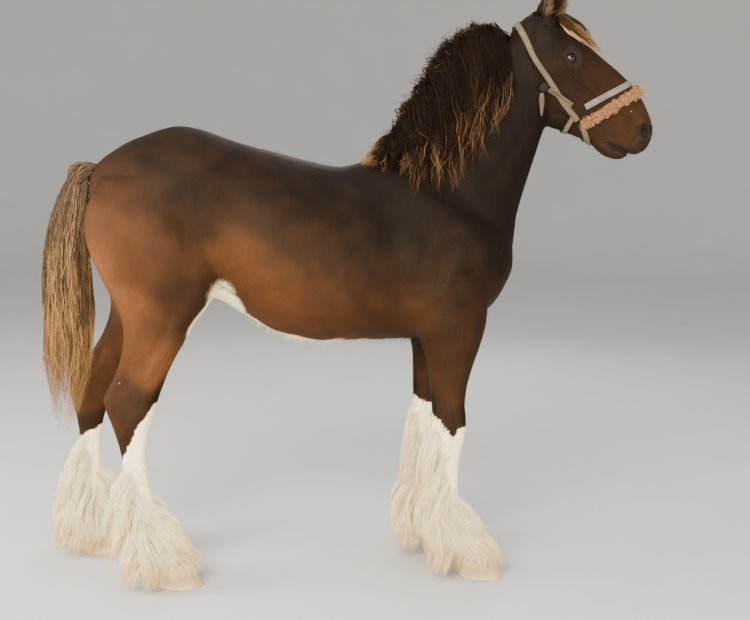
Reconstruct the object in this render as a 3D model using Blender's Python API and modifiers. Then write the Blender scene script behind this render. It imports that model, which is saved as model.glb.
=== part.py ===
"""Shire horse standing at rest, life size, facing +X with its left side at +Y.

Metres, +Z up. The floor is z = 0 and the origin lies under the middle of the horse.
"""
import math
import random

import bmesh
import bpy
import numpy as np
from mathutils import Vector
from mathutils.bvhtree import BVHTree

# Driving dimensions
POLL = np.array((0.696, 2.141))
HEAD_TILT = math.radians(48.7)
CUT_GAP = 0.0003
CUT_MARGIN = 0.03
FLAT_ANGLE = 0.004
FORE_LEG_TOP = 0.880
HIND_LEG_TOP = 0.985
HIND_LEG_FRONT = -0.45
FORE_CANNON_TOP = 0.560
HIND_CANNON_TOP = 0.545
CORONET = 0.075
NECK_CUT = ((0.045, 1.600), (0.630, 1.235))
THROAT_CUT = ((0.640, 2.100), (0.732, 1.722))
HALTER_FORM_CUT = ((0.300, 1.900), (0.750, 1.450))
HIND_STUB_BOTTOM = 0.900

SKIN_VOXEL = 0.010
RING_POINTS = 40
STEPS_BETWEEN = 6

# Places on the head, as distance along the face from the poll, in front of its line and from the middle
MOUTH = [(0.528, -0.112), (0.560, -0.101), (0.600, -0.083), (0.640, -0.064), (0.690, -0.045)]
MOUTH_WIDTH = 0.004
MOUTH_DEPTH = 0.012
NOSTRIL_PLACE = (0.602, 0.034, 0.060)
NOSTRIL_RADII = (0.015, 0.016, 0.028)
NOSTRIL_PITCH = -0.35
EYE_RADIUS = 0.0240
EYE_PLACE = (0.207, -0.030, 0.0745)
EYE_OPENING = (0.0225, 0.0155)
STRAP_WIDTH = 0.022
STRAP_THICKNESS = 0.004
FLEECE_WIDTH = 0.040
FLEECE_THICKNESS = 0.017
TOGGLE_PLACE = (0.712, 1.858)
TOGGLE_RADIUS = 0.017
TOGGLE_THICKNESS = 0.011
BUCKLED_END_THICKNESS = 0.008
LOOSE_END_THICKNESS = 0.005
HANGING_WIDTHS = (0.016, 0.023, 0.018, 0.008)

EAR_LENGTH = 0.185
# Outline of an ear up its length: share of the length, half width, half depth
EAR = [(0.00, 0.032, 0.030), (0.15, 0.038, 0.030), (0.38, 0.050, 0.029), (0.60, 0.045, 0.022),
       (0.80, 0.029, 0.013), (0.93, 0.013, 0.007), (1.00, 0.002, 0.002)]
EAR_HOLLOW = [(0.13, 0.006, 0.004), (0.22, 0.022, 0.014), (0.40, 0.039, 0.021), (0.62, 0.036, 0.016),
              (0.80, 0.022, 0.009), (0.92, 0.006, 0.003)]
EAR_ROOT = (0.070, -0.014, 0.056)
# How far forward the right and the left ear lean
EAR_LEANS = {-1: 0.13, 1: 0.42}
EAR_TURNS = 8
# Middle line of each strap of the headcollar in the side view, as x, z
CROWN_STRAP = [(0.588, 2.180), (0.603, 2.125), (0.624, 2.070), (0.653, 2.010), (0.681, 1.952), (0.741, 1.874),
               (0.797, 1.804), (0.832, 1.766), (0.856, 1.741)]
FLEECE = [(0.874, 1.724), (0.926, 1.755), (1.000, 1.804), (1.075, 1.848), (1.150, 1.893)]
NOSE_STRAP = [(0.880, 1.791), (0.942, 1.827), (1.036, 1.877), (1.100, 1.913)]
CHIN_STRAP = [(0.872, 1.722), (0.892, 1.690), (0.915, 1.640), (0.930, 1.600)]
JAW_STRAP = [(0.836, 1.750), (0.821, 1.716), (0.805, 1.660), (0.792, 1.610)]
HANGING_END = [(0.707, 1.838), (0.708, 1.812), (0.710, 1.785), (0.712, 1.755)]
BUCKLED_END = [(0.732, 1.851), (0.770, 1.832), (0.828, 1.797)]

# Triangles that each length of the body keeps
HEAD_FACES = 880
HALTER_FORM_FACES = 300
NECK_FACES = 260
TORSO_FACES = 780
UPPER_LEG_FACES = 230
CANNON_FACES = 120

# Stations of the trunk and neck: upper point, lower point, middle y, half width,
# height of the widest place, squareness above and below it
TORSO = [
    ((0.625, 1.345), (0.605, 1.120), 0, 0.090, 0.50, 2.0, 2.0),
    ((0.585, 1.400), (0.555, 1.035), 0, 0.175, 0.50, 2.0, 2.2),
    ((0.500, 1.470), (0.450, 0.955), 0, 0.215, 0.50, 1.9, 2.3),
    ((0.350, 1.560), (0.320, 0.908), 0, 0.235, 0.50, 1.7, 2.2),
    ((0.180, 1.600), (0.170, 0.900), 0, 0.255, 0.45, 1.55, 2.1),
    ((0.080, 1.585), (0.070, 0.894), 0, 0.270, 0.45, 1.65, 2.1),
    ((-0.030, 1.556), (-0.030, 0.890), 0, 0.285, 0.45, 1.9, 2.1),
    ((-0.160, 1.577), (-0.150, 0.893), 0, 0.297, 0.46, 2.0, 2.1),
    ((-0.300, 1.612), (-0.270, 0.925), 0, 0.297, 0.47, 2.1, 2.1),
    ((-0.430, 1.648), (-0.390, 0.990), 0, 0.275, 0.50, 2.2, 2.0),
    ((-0.560, 1.688), (-0.500, 1.050), 0, 0.262, 0.55, 2.2, 2.0),
    ((-0.660, 1.692), (-0.620, 1.020), 0, 0.255, 0.55, 2.1, 2.0),
    ((-0.780, 1.648), (-0.740, 1.020), 0, 0.220, 0.55, 2.0, 2.0),
    ((-0.880, 1.590), (-0.850, 1.080), 0, 0.160, 0.55, 2.0, 2.0),
    ((-0.940, 1.540), (-0.925, 1.200), 0, 0.090, 0.55, 2.0, 2.0),
    ((-0.965, 1.500), (-0.955, 1.300), 0, 0.045, 0.55, 2.0, 2.0),
]
NECK = [
    ((0.020, 1.480), (0.450, 1.020), 0, 0.120, 0.45, 1.9, 2.2),
    ((0.130, 1.590), (0.590, 1.130), 0, 0.175, 0.42, 1.8, 2.2),
    ((0.230, 1.660), (0.634, 1.270), 0, 0.160, 0.42, 1.8, 2.2),
    ((0.320, 1.760), (0.652, 1.400), 0, 0.132, 0.42, 1.8, 2.1),
    ((0.410, 1.870), (0.682, 1.510), 0, 0.108, 0.42, 1.9, 2.1),
    ((0.510, 1.970), (0.712, 1.610), 0, 0.092, 0.44, 2.0, 2.1),
    ((0.610, 2.055), (0.744, 1.715), 0, 0.084, 0.48, 2.0, 2.1),
    ((0.680, 2.110), (0.790, 1.815), 0, 0.070, 0.50, 2.0, 2.0),
]
# Stations of the head, measured from the poll down the face: distance along,
# front edge, rear edge, half width, place of the widest, squareness front and rear
HEAD = [
    (-0.015, -0.030, -0.110, 0.030, 0.60, 2.0, 2.0),
    (0.010, 0.005, -0.150, 0.058, 0.60, 2.2, 2.0),
    (0.060, 0.030, -0.180, 0.078, 0.62, 2.4, 2.0),
    (0.110, 0.045, -0.195, 0.088, 0.66, 2.6, 1.9),
    (0.165, 0.056, -0.204, 0.096, 0.68, 2.8, 1.8),
    (0.220, 0.068, -0.220, 0.098, 0.71, 2.8, 1.8),
    (0.283, 0.082, -0.238, 0.086, 0.72, 2.7, 1.8),
    (0.353, 0.100, -0.240, 0.073, 0.70, 2.5, 1.8),
    (0.417, 0.111, -0.203, 0.064, 0.66, 2.4, 2.0),
    (0.487, 0.115, -0.164, 0.057, 0.58, 2.3, 2.2),
    (0.540, 0.106, -0.140, 0.056, 0.56, 2.3, 2.3),
    (0.585, 0.092, -0.105, 0.060, 0.55, 2.3, 2.2),
    (0.625, 0.072, -0.070, 0.060, 0.52, 2.3, 2.2),
    (0.655, 0.035, -0.045, 0.050, 0.50, 2.2, 2.2),
    (0.668, 0.005, -0.030, 0.030, 0.50, 2.0, 2.0),
]
CHIN = [
    (0.500, -0.100, -0.150, 0.030, 0.50, 2.0, 2.0),
    (0.540, -0.090, -0.150, 0.040, 0.50, 2.2, 2.2),
    (0.585, -0.080, -0.140, 0.043, 0.50, 2.3, 2.3),
    (0.620, -0.066, -0.118, 0.042, 0.50, 2.3, 2.3),
    (0.640, -0.066, -0.096, 0.030, 0.50, 2.0, 2.0),
]
# Stations of the legs: front point, rear point, middle y, half width, place of the widest,
# squareness front and rear
FORE_LEG = [
    ((0.450, 1.300), (0.200, 1.270), 0.145, 0.070, 0.5, 2.0, 2.0),
    ((0.510, 1.120), (0.215, 1.110), 0.155, 0.090, 0.5, 2.2, 2.2),
    ((0.518, 1.010), (0.238, 0.985), 0.155, 0.086, 0.5, 2.2, 2.2),
    ((0.503, 0.925), (0.272, 0.900), 0.150, 0.076, 0.5, 2.2, 2.1),
    ((0.480, 0.845), (0.293, 0.830), 0.145, 0.065, 0.5, 2.1, 2.1),
    ((0.460, 0.765), (0.304, 0.760), 0.140, 0.056, 0.5, 2.1, 2.1),
    ((0.450, 0.690), (0.313, 0.690), 0.136, 0.050, 0.5, 2.2, 2.1),
    ((0.452, 0.620), (0.320, 0.620), 0.133, 0.053, 0.5, 2.6, 2.2),
    ((0.454, 0.570), (0.324, 0.565), 0.131, 0.056, 0.5, 2.8, 2.3),
    ((0.447, 0.520), (0.334, 0.515), 0.129, 0.050, 0.5, 2.6, 2.2),
    ((0.437, 0.465), (0.346, 0.460), 0.127, 0.040, 0.5, 2.3, 2.1),
    ((0.434, 0.390), (0.350, 0.385), 0.126, 0.035, 0.5, 2.1, 2.1),
    ((0.438, 0.310), (0.350, 0.300), 0.125, 0.036, 0.5, 2.1, 2.1),
    ((0.456, 0.255), (0.345, 0.230), 0.125, 0.046, 0.5, 2.2, 2.1),
    ((0.474, 0.210), (0.368, 0.170), 0.125, 0.044, 0.5, 2.2, 2.2),
    ((0.508, 0.165), (0.408, 0.115), 0.125, 0.044, 0.5, 2.1, 2.2),
    ((0.556, 0.112), (0.432, 0.075), 0.125, 0.060, 0.5, 2.2, 2.2),
    ((0.574, 0.075), (0.436, 0.050), 0.125, 0.066, 0.5, 2.2, 2.2),
]
HIND_LEG = [
    ((-0.540, 1.480), (-0.900, 1.500), 0.120, 0.090, 0.5, 2.0, 2.0),
    ((-0.480, 1.330), (-0.945, 1.400), 0.150, 0.120, 0.5, 2.1, 2.0),
    ((-0.465, 1.200), (-0.953, 1.290), 0.160, 0.125, 0.5, 2.2, 2.0),
    ((-0.480, 1.110), (-0.915, 1.180), 0.165, 0.118, 0.5, 2.2, 2.0),
    ((-0.515, 1.040), (-0.862, 1.075), 0.170, 0.100, 0.5, 2.2, 2.0),
    ((-0.568, 0.965), (-0.824, 0.985), 0.176, 0.082, 0.5, 2.1, 2.0),
    ((-0.610, 0.885), (-0.822, 0.895), 0.182, 0.067, 0.5, 2.1, 2.0),
    ((-0.648, 0.805), (-0.846, 0.805), 0.186, 0.055, 0.55, 2.1, 1.7),
    ((-0.675, 0.735), (-0.880, 0.740), 0.188, 0.048, 0.58, 2.2, 1.6),
    ((-0.694, 0.675), (-0.893, 0.695), 0.189, 0.052, 0.55, 2.3, 1.9),
    ((-0.710, 0.620), (-0.868, 0.620), 0.190, 0.051, 0.52, 2.3, 2.1),
    ((-0.727, 0.560), (-0.845, 0.550), 0.190, 0.043, 0.5, 2.2, 2.1),
    ((-0.733, 0.490), (-0.828, 0.480), 0.190, 0.036, 0.5, 2.1, 2.1),
    ((-0.726, 0.400), (-0.815, 0.390), 0.190, 0.034, 0.5, 2.1, 2.1),
    ((-0.704, 0.315), (-0.797, 0.300), 0.190, 0.036, 0.5, 2.1, 2.1),
    ((-0.682, 0.262), (-0.790, 0.235), 0.190, 0.046, 0.5, 2.2, 2.1),
    ((-0.664, 0.215), (-0.765, 0.175), 0.190, 0.044, 0.5, 2.2, 2.2),
    ((-0.632, 0.168), (-0.728, 0.118), 0.190, 0.044, 0.5, 2.1, 2.2),
    ((-0.590, 0.112), (-0.712, 0.075), 0.190, 0.058, 0.5, 2.2, 2.2),
    ((-0.572, 0.075), (-0.708, 0.050), 0.190, 0.064, 0.5, 2.2, 2.2),
]
# How far back the left legs stand, as (height, shift along X)
LEFT_FORE_SWING = [(0.00, -0.100), (0.30, -0.070), (0.65, -0.040), (1.05, 0.000)]
LEFT_HIND_SWING = [(0.00, -0.330), (0.12, -0.315), (0.25, -0.255), (0.45, -0.222), (0.68, -0.200), (1.25, 0.0)]

# Swellings and hollows of the muscle and bone: points on the left side, reach, height
BODY_STROKES = [
    ([(0.190, 0.150, 1.520), (0.470, 0.200, 1.250)], 0.070, 0.016),
    ([(0.270, 0.130, 1.580), (0.570, 0.140, 1.300)], 0.035, -0.010),
    ([(0.330, 0.230, 1.120)], 0.110, 0.016),
    ([(0.130, 0.250, 1.450), (0.190, 0.250, 1.080)], 0.050, -0.009),
    ([(0.600, 0.080, 1.190)], 0.075, 0.012),
    ([(0.640, 0.000, 1.360), (0.600, 0.000, 1.060)], 0.030, -0.016),
    ([(0.660, 0.060, 1.500), (0.640, 0.100, 1.380)], 0.030, -0.006),
    ([(-0.430, 0.270, 1.360)], 0.090, -0.014),
    ([(-0.470, 0.200, 1.590)], 0.050, 0.010),
    ([(-0.700, 0.200, 1.500)], 0.140, 0.012),
    ([(-0.700, 0.250, 1.270)], 0.150, 0.018),
    ([(-0.530, 0.250, 1.080)], 0.070, 0.010),
    ([(-0.900, 0.160, 1.460), (-0.840, 0.240, 1.120)], 0.035, -0.009),
    ([(-0.970, 0.000, 1.440), (-0.860, 0.000, 1.040)], 0.035, -0.030),
    ([(-0.350, 0.000, 1.640), (-0.750, 0.000, 1.680)], 0.040, -0.008),
]
FORE_STROKES = [
    ([(0.420, 0.200, 0.900)], 0.060, 0.006),
    ([(0.360, 0.190, 0.800), (0.370, 0.180, 0.680)], 0.018, -0.005),
    ([(0.420, 0.180, 0.590)], 0.028, 0.004),
    ([(0.325, 0.140, 0.575)], 0.022, 0.008),
    ([(0.382, 0.162, 0.450), (0.385, 0.162, 0.290)], 0.012, -0.005),
    ([(0.382, 0.090, 0.450), (0.385, 0.090, 0.290)], 0.012, -0.005),
]
HIND_STROKES = [
    ([(-0.640, 0.240, 0.940)], 0.070, 0.009),
    ([(-0.790, 0.215, 0.830), (-0.810, 0.215, 0.740)], 0.022, -0.010),
    ([(-0.790, 0.155, 0.830), (-0.810, 0.155, 0.740)], 0.022, -0.010),
    ([(-0.725, 0.240, 0.650)], 0.028, 0.006),
    ([(-0.725, 0.140, 0.650)], 0.028, 0.006),
    ([(-0.782, 0.226, 0.500), (-0.765, 0.226, 0.320)], 0.012, -0.005),
    ([(-0.782, 0.154, 0.500), (-0.765, 0.154, 0.320)], 0.012, -0.005),
]
# The same on the head: points as (along, front, y)
HEAD_STROKES = [
    ([(0.175, -0.110, 0.090)], 0.070, 0.008),
    ([(0.090, -0.150, 0.080), (0.180, -0.175, 0.080), (0.260, -0.150, 0.075)], 0.016, 0.005),
    ([(0.250, -0.020, 0.090), (0.400, -0.020, 0.070)], 0.014, 0.006),
    ([(0.310, 0.040, 0.060), (0.450, 0.050, 0.050)], 0.024, -0.005),
    ([(0.185, 0.012, 0.092), (0.215, 0.014, 0.092)], 0.018, 0.008),
    ([(0.130, 0.010, 0.080)], 0.024, -0.009),
    ([(0.590, 0.040, 0.056)], 0.030, 0.009),
    ([(0.540, 0.010, 0.056)], 0.028, -0.005),
    ([(0.060, -0.060, 0.080), (0.100, -0.120, 0.085)], 0.022, -0.006),
]

# Mane: root along X on the crest, drift along X, fall and rise of the hair from there
MANE = [
    (0.055, -0.050, 0.030, 0.010),
    (0.110, -0.095, 0.055, 0.018),
    (0.170, -0.070, 0.075, 0.035),
    (0.220, -0.030, 0.110, 0.065),
    (0.280, -0.035, 0.220, 0.105),
    (0.360, -0.040, 0.340, 0.135),
    (0.440, -0.050, 0.410, 0.150),
    (0.500, -0.060, 0.430, 0.145),
    (0.540, -0.065, 0.380, 0.125),
    (0.574, -0.055, 0.310, 0.095),
]
MANE_LOCKS = 15
MANE_TUFTS = 8
MANE_TUFT_REAR = 0.210
MANE_TUFT_FRONT = 0.572
FORELOCK_LOCKS = 6
FORELOCK_LIFT = 0.007
FORELOCK_LAYER = 0.010
FORELOCK_THICKNESS = 0.015
# Tail: middle of the hair as x, z, half depth, half width
TAIL = [
    (-0.985, 1.500, 0.022, 0.026),
    (-1.008, 1.455, 0.044, 0.040),
    (-1.028, 1.370, 0.058, 0.048),
    (-1.042, 1.260, 0.066, 0.057),
    (-1.047, 1.150, 0.081, 0.068),
    (-1.040, 1.000, 0.088, 0.074),
    (-1.046, 0.860, 0.086, 0.072),
    (-1.048, 0.740, 0.078, 0.064),
    (-1.052, 0.640, 0.062, 0.050),
    (-1.064, 0.550, 0.040, 0.034),
]
DOCK = [(-0.915, 1.500, 0.026), (-0.960, 1.505, 0.027), (-0.992, 1.480, 0.027), (-1.012, 1.420, 0.025),
        (-1.026, 1.320, 0.021), (-1.034, 1.200, 0.016), (-1.038, 1.090, 0.009)]
TAIL_LOCKS = 13
TAIL_OUTER_LOCKS = 9
# Feather of a lower leg: height of the root, turn from the rear in degrees, height of the tip and
# its distance from the middle of the leg, and whether the lock stands on edge to the leg
FEATHER = [
    (0.515, 0, 0.375, 0.076, True), (0.420, -34, 0.280, 0.086, False), (0.415, 34, 0.280, 0.086, False),
    (0.345, 0, 0.150, 0.150, True), (0.310, -64, 0.150, 0.100, False), (0.305, 64, 0.150, 0.100, False),
    (0.255, -22, 0.050, 0.196, False), (0.250, 24, 0.030, 0.194, False), (0.225, -64, 0.030, 0.162, False),
    (0.222, 66, 0.030, 0.162, False), (0.192, -108, 0.032, 0.124, False), (0.190, 110, 0.032, 0.124, False),
    (0.165, 2, 0.014, 0.168, True), (0.145, 180, 0.036, 0.112, False),
]
# The bell that the feather makes: height, distance from the middle at the rear and at the sides,
# and how far out the solid middle of the hair goes toward it
FEATHER_BELL = [
    (0.350, 0.080, 0.055, -0.10), (0.270, 0.125, 0.085, 0.30), (0.180, 0.180, 0.120, 0.48),
    (0.120, 0.190, 0.140, 0.50), (0.080, 0.190, 0.145, 0.40),
]
FEATHER_TURNS = 12
# Rings of a hoof: height, reach of the toe, reach of the heel, spread of the sides
HOOF_RINGS = [(CORONET - CUT_GAP, 0.000, 0.004, 0.002), (0.060, 0.008, 0.002, 0.006),
              (0.006, 0.044, -0.004, 0.017), (0.0, 0.040, -0.007, 0.014)]
HAIR_CLEARANCE = 0.0035
HAIR_GAP = 0.0010
HAIR_GAP_STEP = 0.07
FLOOR_CLEARANCE = 0.008
SEED = 19

COLOURS = {
    "coat": ((0.100, 0.035, 0.015), 0.45),
    "stocking": ((0.800, 0.740, 0.620), 0.75),
    "mane": ((0.050, 0.026, 0.014), 0.60),
    "tail": ((0.420, 0.300, 0.170), 0.60),
    "hoof": ((0.520, 0.380, 0.220), 0.40),
    "eye": ((0.012, 0.007, 0.005), 0.08),
    "webbing": ((0.560, 0.430, 0.300), 0.80),
    "fleece": ((0.560, 0.270, 0.130), 0.95),
    "strap": ((0.480, 0.440, 0.400), 0.70),
    "leather": ((0.050, 0.022, 0.012), 0.45),
}


def on_head(along, front):
    """A point (x, z) at a distance down the face from the poll and in front of the face's line."""
    down = (math.cos(HEAD_TILT), -math.sin(HEAD_TILT))
    ahead = (math.sin(HEAD_TILT), math.cos(HEAD_TILT))
    return (POLL[0] + along * down[0] + front * ahead[0], POLL[1] + along * down[1] + front * ahead[1])


def in_head(along, front, y):
    x, z = on_head(along, front)
    return (x, y, z)


def material(finish):
    found = bpy.data.materials.get(finish)
    if found:
        return found
    colour, roughness = COLOURS[finish]
    made = bpy.data.materials.new(finish)
    made.use_nodes = True
    shader = made.node_tree.nodes["Principled BSDF"]
    shader.inputs["Base Color"].default_value = (*colour, 1)
    shader.inputs["Roughness"].default_value = roughness
    shader.inputs["Metallic"].default_value = 0.0
    return made


def collection(name):
    found = bpy.data.collections.get(name)
    if not found:
        found = bpy.data.collections.new(name)
        bpy.context.scene.collection.children.link(found)
    return found


def add_object(name, mesh, group="workpieces"):
    obj = bpy.data.objects.new(name, mesh)
    collection(group).objects.link(obj)
    return obj


def name_node(obj, name, finish):
    """Makes a finished piece a named part of the horse with a finish of its own."""
    old = list(obj.users_collection)
    collection("shire_horse").objects.link(obj)
    for group in old:
        group.objects.unlink(obj)
    obj.name = name
    obj.data.name = name
    obj.data.materials.clear()
    own = material(finish).copy()
    own.name = name + "_finish"
    obj.data.materials.append(own)
    obj.data.shade_smooth()
    obj.data.set_sharp_from_angle(angle=math.radians(50))
    return obj


def settle(obj, modifier_type, **settings):
    """Adds a modifier and applies it."""
    modifier = obj.modifiers.new(modifier_type.lower(), modifier_type)
    for key, value in settings.items():
        setattr(modifier, key, value)
    graph = bpy.context.evaluated_depsgraph_get()
    mesh = bpy.data.meshes.new_from_object(obj.evaluated_get(graph))
    obj.modifiers.clear()
    old = obj.data
    obj.data = mesh
    bpy.data.meshes.remove(old)
    return obj


def smooth_rows(rows, steps):
    """Rows of numbers joined by a smooth curve through each of them."""
    rows = np.asarray(rows, float)
    padded = np.vstack([2 * rows[0] - rows[1], rows, 2 * rows[-1] - rows[-2]])
    out = []
    for i in range(1, len(padded) - 2):
        p0, p1, p2, p3 = padded[i - 1:i + 3]
        for t in np.linspace(0, 1, steps, endpoint=False):
            bend = (2 * p0 - 5 * p1 + 4 * p2 - p3) * t * t + (3 * p1 - p0 - 3 * p2 + p3) * t ** 3
            out.append(0.5 * (2 * p1 + (p2 - p0) * t + bend))
    out.append(padded[-2])
    return np.array(out)


def station_ring(station, count):
    """Points round one station, from its first edge over the left side and back."""
    ax, az, bx, bz, y, half, widest, square_a, square_b = station
    turn = 2 * math.pi * np.arange(count) / count
    up, side = np.cos(turn), np.sin(turn)
    power = 2 / np.where(up > 0, square_a, square_b)
    up = np.sign(up) * np.abs(up) ** power
    side = np.sign(side) * np.abs(side) ** power
    reach = widest + np.where(up > 0, (1 - widest) * up, widest * up)
    return np.column_stack([bx + reach * (ax - bx), y + half * side, bz + reach * (az - bz)])


def loft(name, rings):
    """A closed mesh through rings with the same number of points."""
    mesh_data = bmesh.new()
    rows = [[mesh_data.verts.new(point) for point in ring] for ring in rings]
    count = len(rows[0])
    for a, b in zip(rows, rows[1:]):
        for j in range(count):
            mesh_data.faces.new((a[j], a[(j + 1) % count], b[(j + 1) % count], b[j]))
    mesh_data.faces.new(list(reversed(rows[0])))
    mesh_data.faces.new(rows[-1])
    bmesh.ops.recalc_face_normals(mesh_data, faces=mesh_data.faces)
    mesh = bpy.data.meshes.new(name)
    mesh_data.to_mesh(mesh)
    mesh_data.free()
    return add_object(name, mesh)


def loft_stations(name, stations, steps=STEPS_BETWEEN, count=RING_POINTS):
    flat = [(*a, *b, *rest) for a, b, *rest in stations]
    return loft(name, [station_ring(row, count) for row in smooth_rows(flat, steps)])


def head_stations(stations):
    return [(on_head(u, f), on_head(u, r), 0, *rest) for u, f, r, *rest in stations]


def swing_at(swing, height):
    heights, shifts = zip(*swing)
    return float(np.interp(height, heights, shifts))


def leg_stations(stations, side, swing):
    """The stations of one leg, on one side and swung back by its own shift."""
    return [((a[0] + swing_at(swing, a[1]), a[1]), (b[0] + swing_at(swing, b[1]), b[1]), side * y, *rest)
            for a, b, y, *rest in stations]


def leg_swing(pair, side):
    if side < 0:
        return [(0, 0), (1, 0)]
    return LEFT_FORE_SWING if pair == "fore" else LEFT_HIND_SWING


def distance_to_path(points, path):
    """Distance of each point to a line through the path's points."""
    path = np.asarray(path, float)
    if len(path) == 1:
        return np.linalg.norm(points - path[0], axis=1)
    best = np.full(len(points), np.inf)
    for a, b in zip(path, path[1:]):
        along = np.clip((points - a) @ (b - a) / ((b - a) @ (b - a)), 0, 1)
        best = np.minimum(best, np.linalg.norm(points - (a + along[:, None] * (b - a)), axis=1))
    return best


def all_strokes():
    """Each stroke on both sides of the horse, with the left legs' own shift."""
    strokes = []
    for side in (-1, 1):
        for path, reach, height in BODY_STROKES:
            strokes.append(([(x, side * y, z) for x, y, z in path], reach, height))
        for path, reach, height in HEAD_STROKES:
            strokes.append(([in_head(u, f, side * y) for u, f, y in path], reach, height))
        for pair, group in (("fore", FORE_STROKES), ("hind", HIND_STROKES)):
            swing = leg_swing(pair, side)
            for path, reach, height in group:
                strokes.append(([(x + swing_at(swing, z), side * y, z) for x, y, z in path], reach, height))
    return strokes


def mesh_points(mesh):
    points = np.empty(len(mesh.vertices) * 3)
    mesh.vertices.foreach_get("co", points)
    return points.reshape(-1, 3)


def mesh_normals(mesh):
    normals = np.empty(len(mesh.vertices) * 3)
    mesh.vertex_normals.foreach_get("vector", normals)
    return normals.reshape(-1, 3)


def set_points(mesh, points):
    mesh.vertices.foreach_set("co", np.ascontiguousarray(points).ravel())
    mesh.update()


def model_muscles(obj):
    """Raises and hollows the skin along the strokes."""
    points = mesh_points(obj.data)
    normals = mesh_normals(obj.data)
    shift = np.zeros(len(points))
    done = set()
    for path, reach, height in all_strokes():
        key = tuple(map(tuple, path))
        if key in done:
            continue
        done.add(key)
        shift += height * np.exp(-(distance_to_path(points, path) / reach) ** 2)
    set_points(obj.data, points + shift[:, None] * normals)


def make_skin():
    """The whole flesh as one closed skin: lofted lengths, merged, eased and modelled."""
    pieces = [
        loft_stations("trunk", TORSO),
        loft_stations("neck_length", NECK),
        loft_stations("skull", head_stations(HEAD)),
        loft_stations("chin", head_stations(CHIN)),
    ]
    for side in (-1, 1):
        for pair, stations in (("fore", FORE_LEG), ("hind", HIND_LEG)):
            pieces.append(loft_stations(pair + "_limb", leg_stations(stations, side, leg_swing(pair, side))))
    whole = bmesh.new()
    for piece in pieces:
        whole.from_mesh(piece.data)
        bpy.data.objects.remove(piece)
    mesh = bpy.data.meshes.new("skin")
    whole.to_mesh(mesh)
    whole.free()
    skin = add_object("skin", mesh)
    settle(skin, "REMESH", mode="VOXEL", voxel_size=SKIN_VOXEL)
    settle(skin, "SMOOTH", factor=0.5, iterations=14)
    model_muscles(skin)
    return skin


def slice_away(obj, planes):
    """Keeps what lies behind each plane, given as a point and a normal, and caps the cuts."""
    work = bmesh.new()
    work.from_mesh(obj.data)
    for point, normal in planes:
        geometry = work.verts[:] + work.edges[:] + work.faces[:]
        bmesh.ops.bisect_plane(work, geom=geometry, dist=1e-6, plane_co=point, plane_no=normal,
                               clear_outer=True)
        rim = [edge for edge in work.edges if edge.is_boundary]
        if rim:
            bmesh.ops.holes_fill(work, edges=rim, sides=0)
    bmesh.ops.triangulate(work, faces=work.faces[:])
    work.to_mesh(obj.data)
    work.free()


def thin_out(obj, faces):
    """Collapses the mesh to about so many triangles."""
    settle(obj, "TRIANGULATE")
    share = faces / len(obj.data.polygons)
    if share < 1:
        settle(obj, "DECIMATE", ratio=share)


def keep_largest(obj):
    """Keeps only the largest closed surface of a mesh, without points that only divide an edge."""
    work = bmesh.new()
    work.from_mesh(obj.data)
    left = set(work.faces)
    best, best_volume = [], -1.0
    while left:
        seed = left.pop()
        group, queue = [seed], [seed]
        while queue:
            for edge in queue.pop().edges:
                for face in edge.link_faces:
                    if face in left:
                        left.discard(face)
                        group.append(face)
                        queue.append(face)
        volume = abs(sum(f.calc_center_median().dot(f.normal) * f.calc_area() for f in group)) / 3
        if volume > best_volume:
            best, best_volume = group, volume
    keep = set(best)
    bmesh.ops.delete(work, geom=[f for f in work.faces if f not in keep], context="FACES")
    bmesh.ops.dissolve_limit(work, angle_limit=FLAT_ANGLE, verts=work.verts[:], edges=work.edges[:])
    on_edges = [v for v in work.verts if len(v.link_edges) == 2]
    bmesh.ops.dissolve_verts(work, verts=on_edges)
    bmesh.ops.triangulate(work, faces=work.faces[:])
    work.to_mesh(obj.data)
    work.free()
    return obj


def copy_of(obj, name):
    return add_object(name, obj.data.copy())


def length_of_skin(name, skin, planes, faces):
    """A closed length of the skin, thinned to about so many triangles and then cut true."""
    piece = copy_of(skin, name)
    wide = [(Vector(point) + CUT_MARGIN * Vector(normal).normalized(), normal) for point, normal in planes]
    slice_away(piece, wide)
    keep_largest(piece)
    thin_out(piece, faces)
    true = [(Vector(point) - 0.5 * CUT_GAP * Vector(normal).normalized(), normal) for point, normal in planes]
    slice_away(piece, true)
    return keep_largest(piece)


def combine(obj, tool, operation):
    """Joins, cuts or trims one closed mesh with another and removes the other."""
    settle(obj, "BOOLEAN", object=tool, operation=operation, solver="MANIFOLD")
    bpy.data.objects.remove(tool)
    return obj


def swollen(obj, name, distance):
    """A copy whose surface stands off by a distance."""
    piece = copy_of(obj, name)
    set_points(piece.data, mesh_points(piece.data) + distance * mesh_normals(piece.data))
    return piece


def cut_plane(ends, flip=False):
    """A plane across the body through two points of the side view, facing up and forward."""
    (x0, z0), (x1, z1) = ends
    normal = Vector((z0 - z1, 0, x1 - x0)).normalized()
    return ((x0, 0, z0), -normal if flip else normal)


def level(height, upward):
    return ((0, 0, height), (0, 0, 1 if upward else -1))


def ellipsoid(name, centre, radii, pitch=0.0, segments=20, rings=12):
    bpy.ops.mesh.primitive_uv_sphere_add(segments=segments, ring_count=rings, radius=1)
    ball = bpy.context.object
    ball.name = name
    for group in list(ball.users_collection):
        group.objects.unlink(ball)
    collection("workpieces").objects.link(ball)
    turn = np.array([[math.cos(pitch), 0, math.sin(pitch)], [0, 1, 0], [-math.sin(pitch), 0, math.cos(pitch)]])
    set_points(ball.data, (mesh_points(ball.data) * radii) @ turn.T + centre)
    return ball


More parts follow.
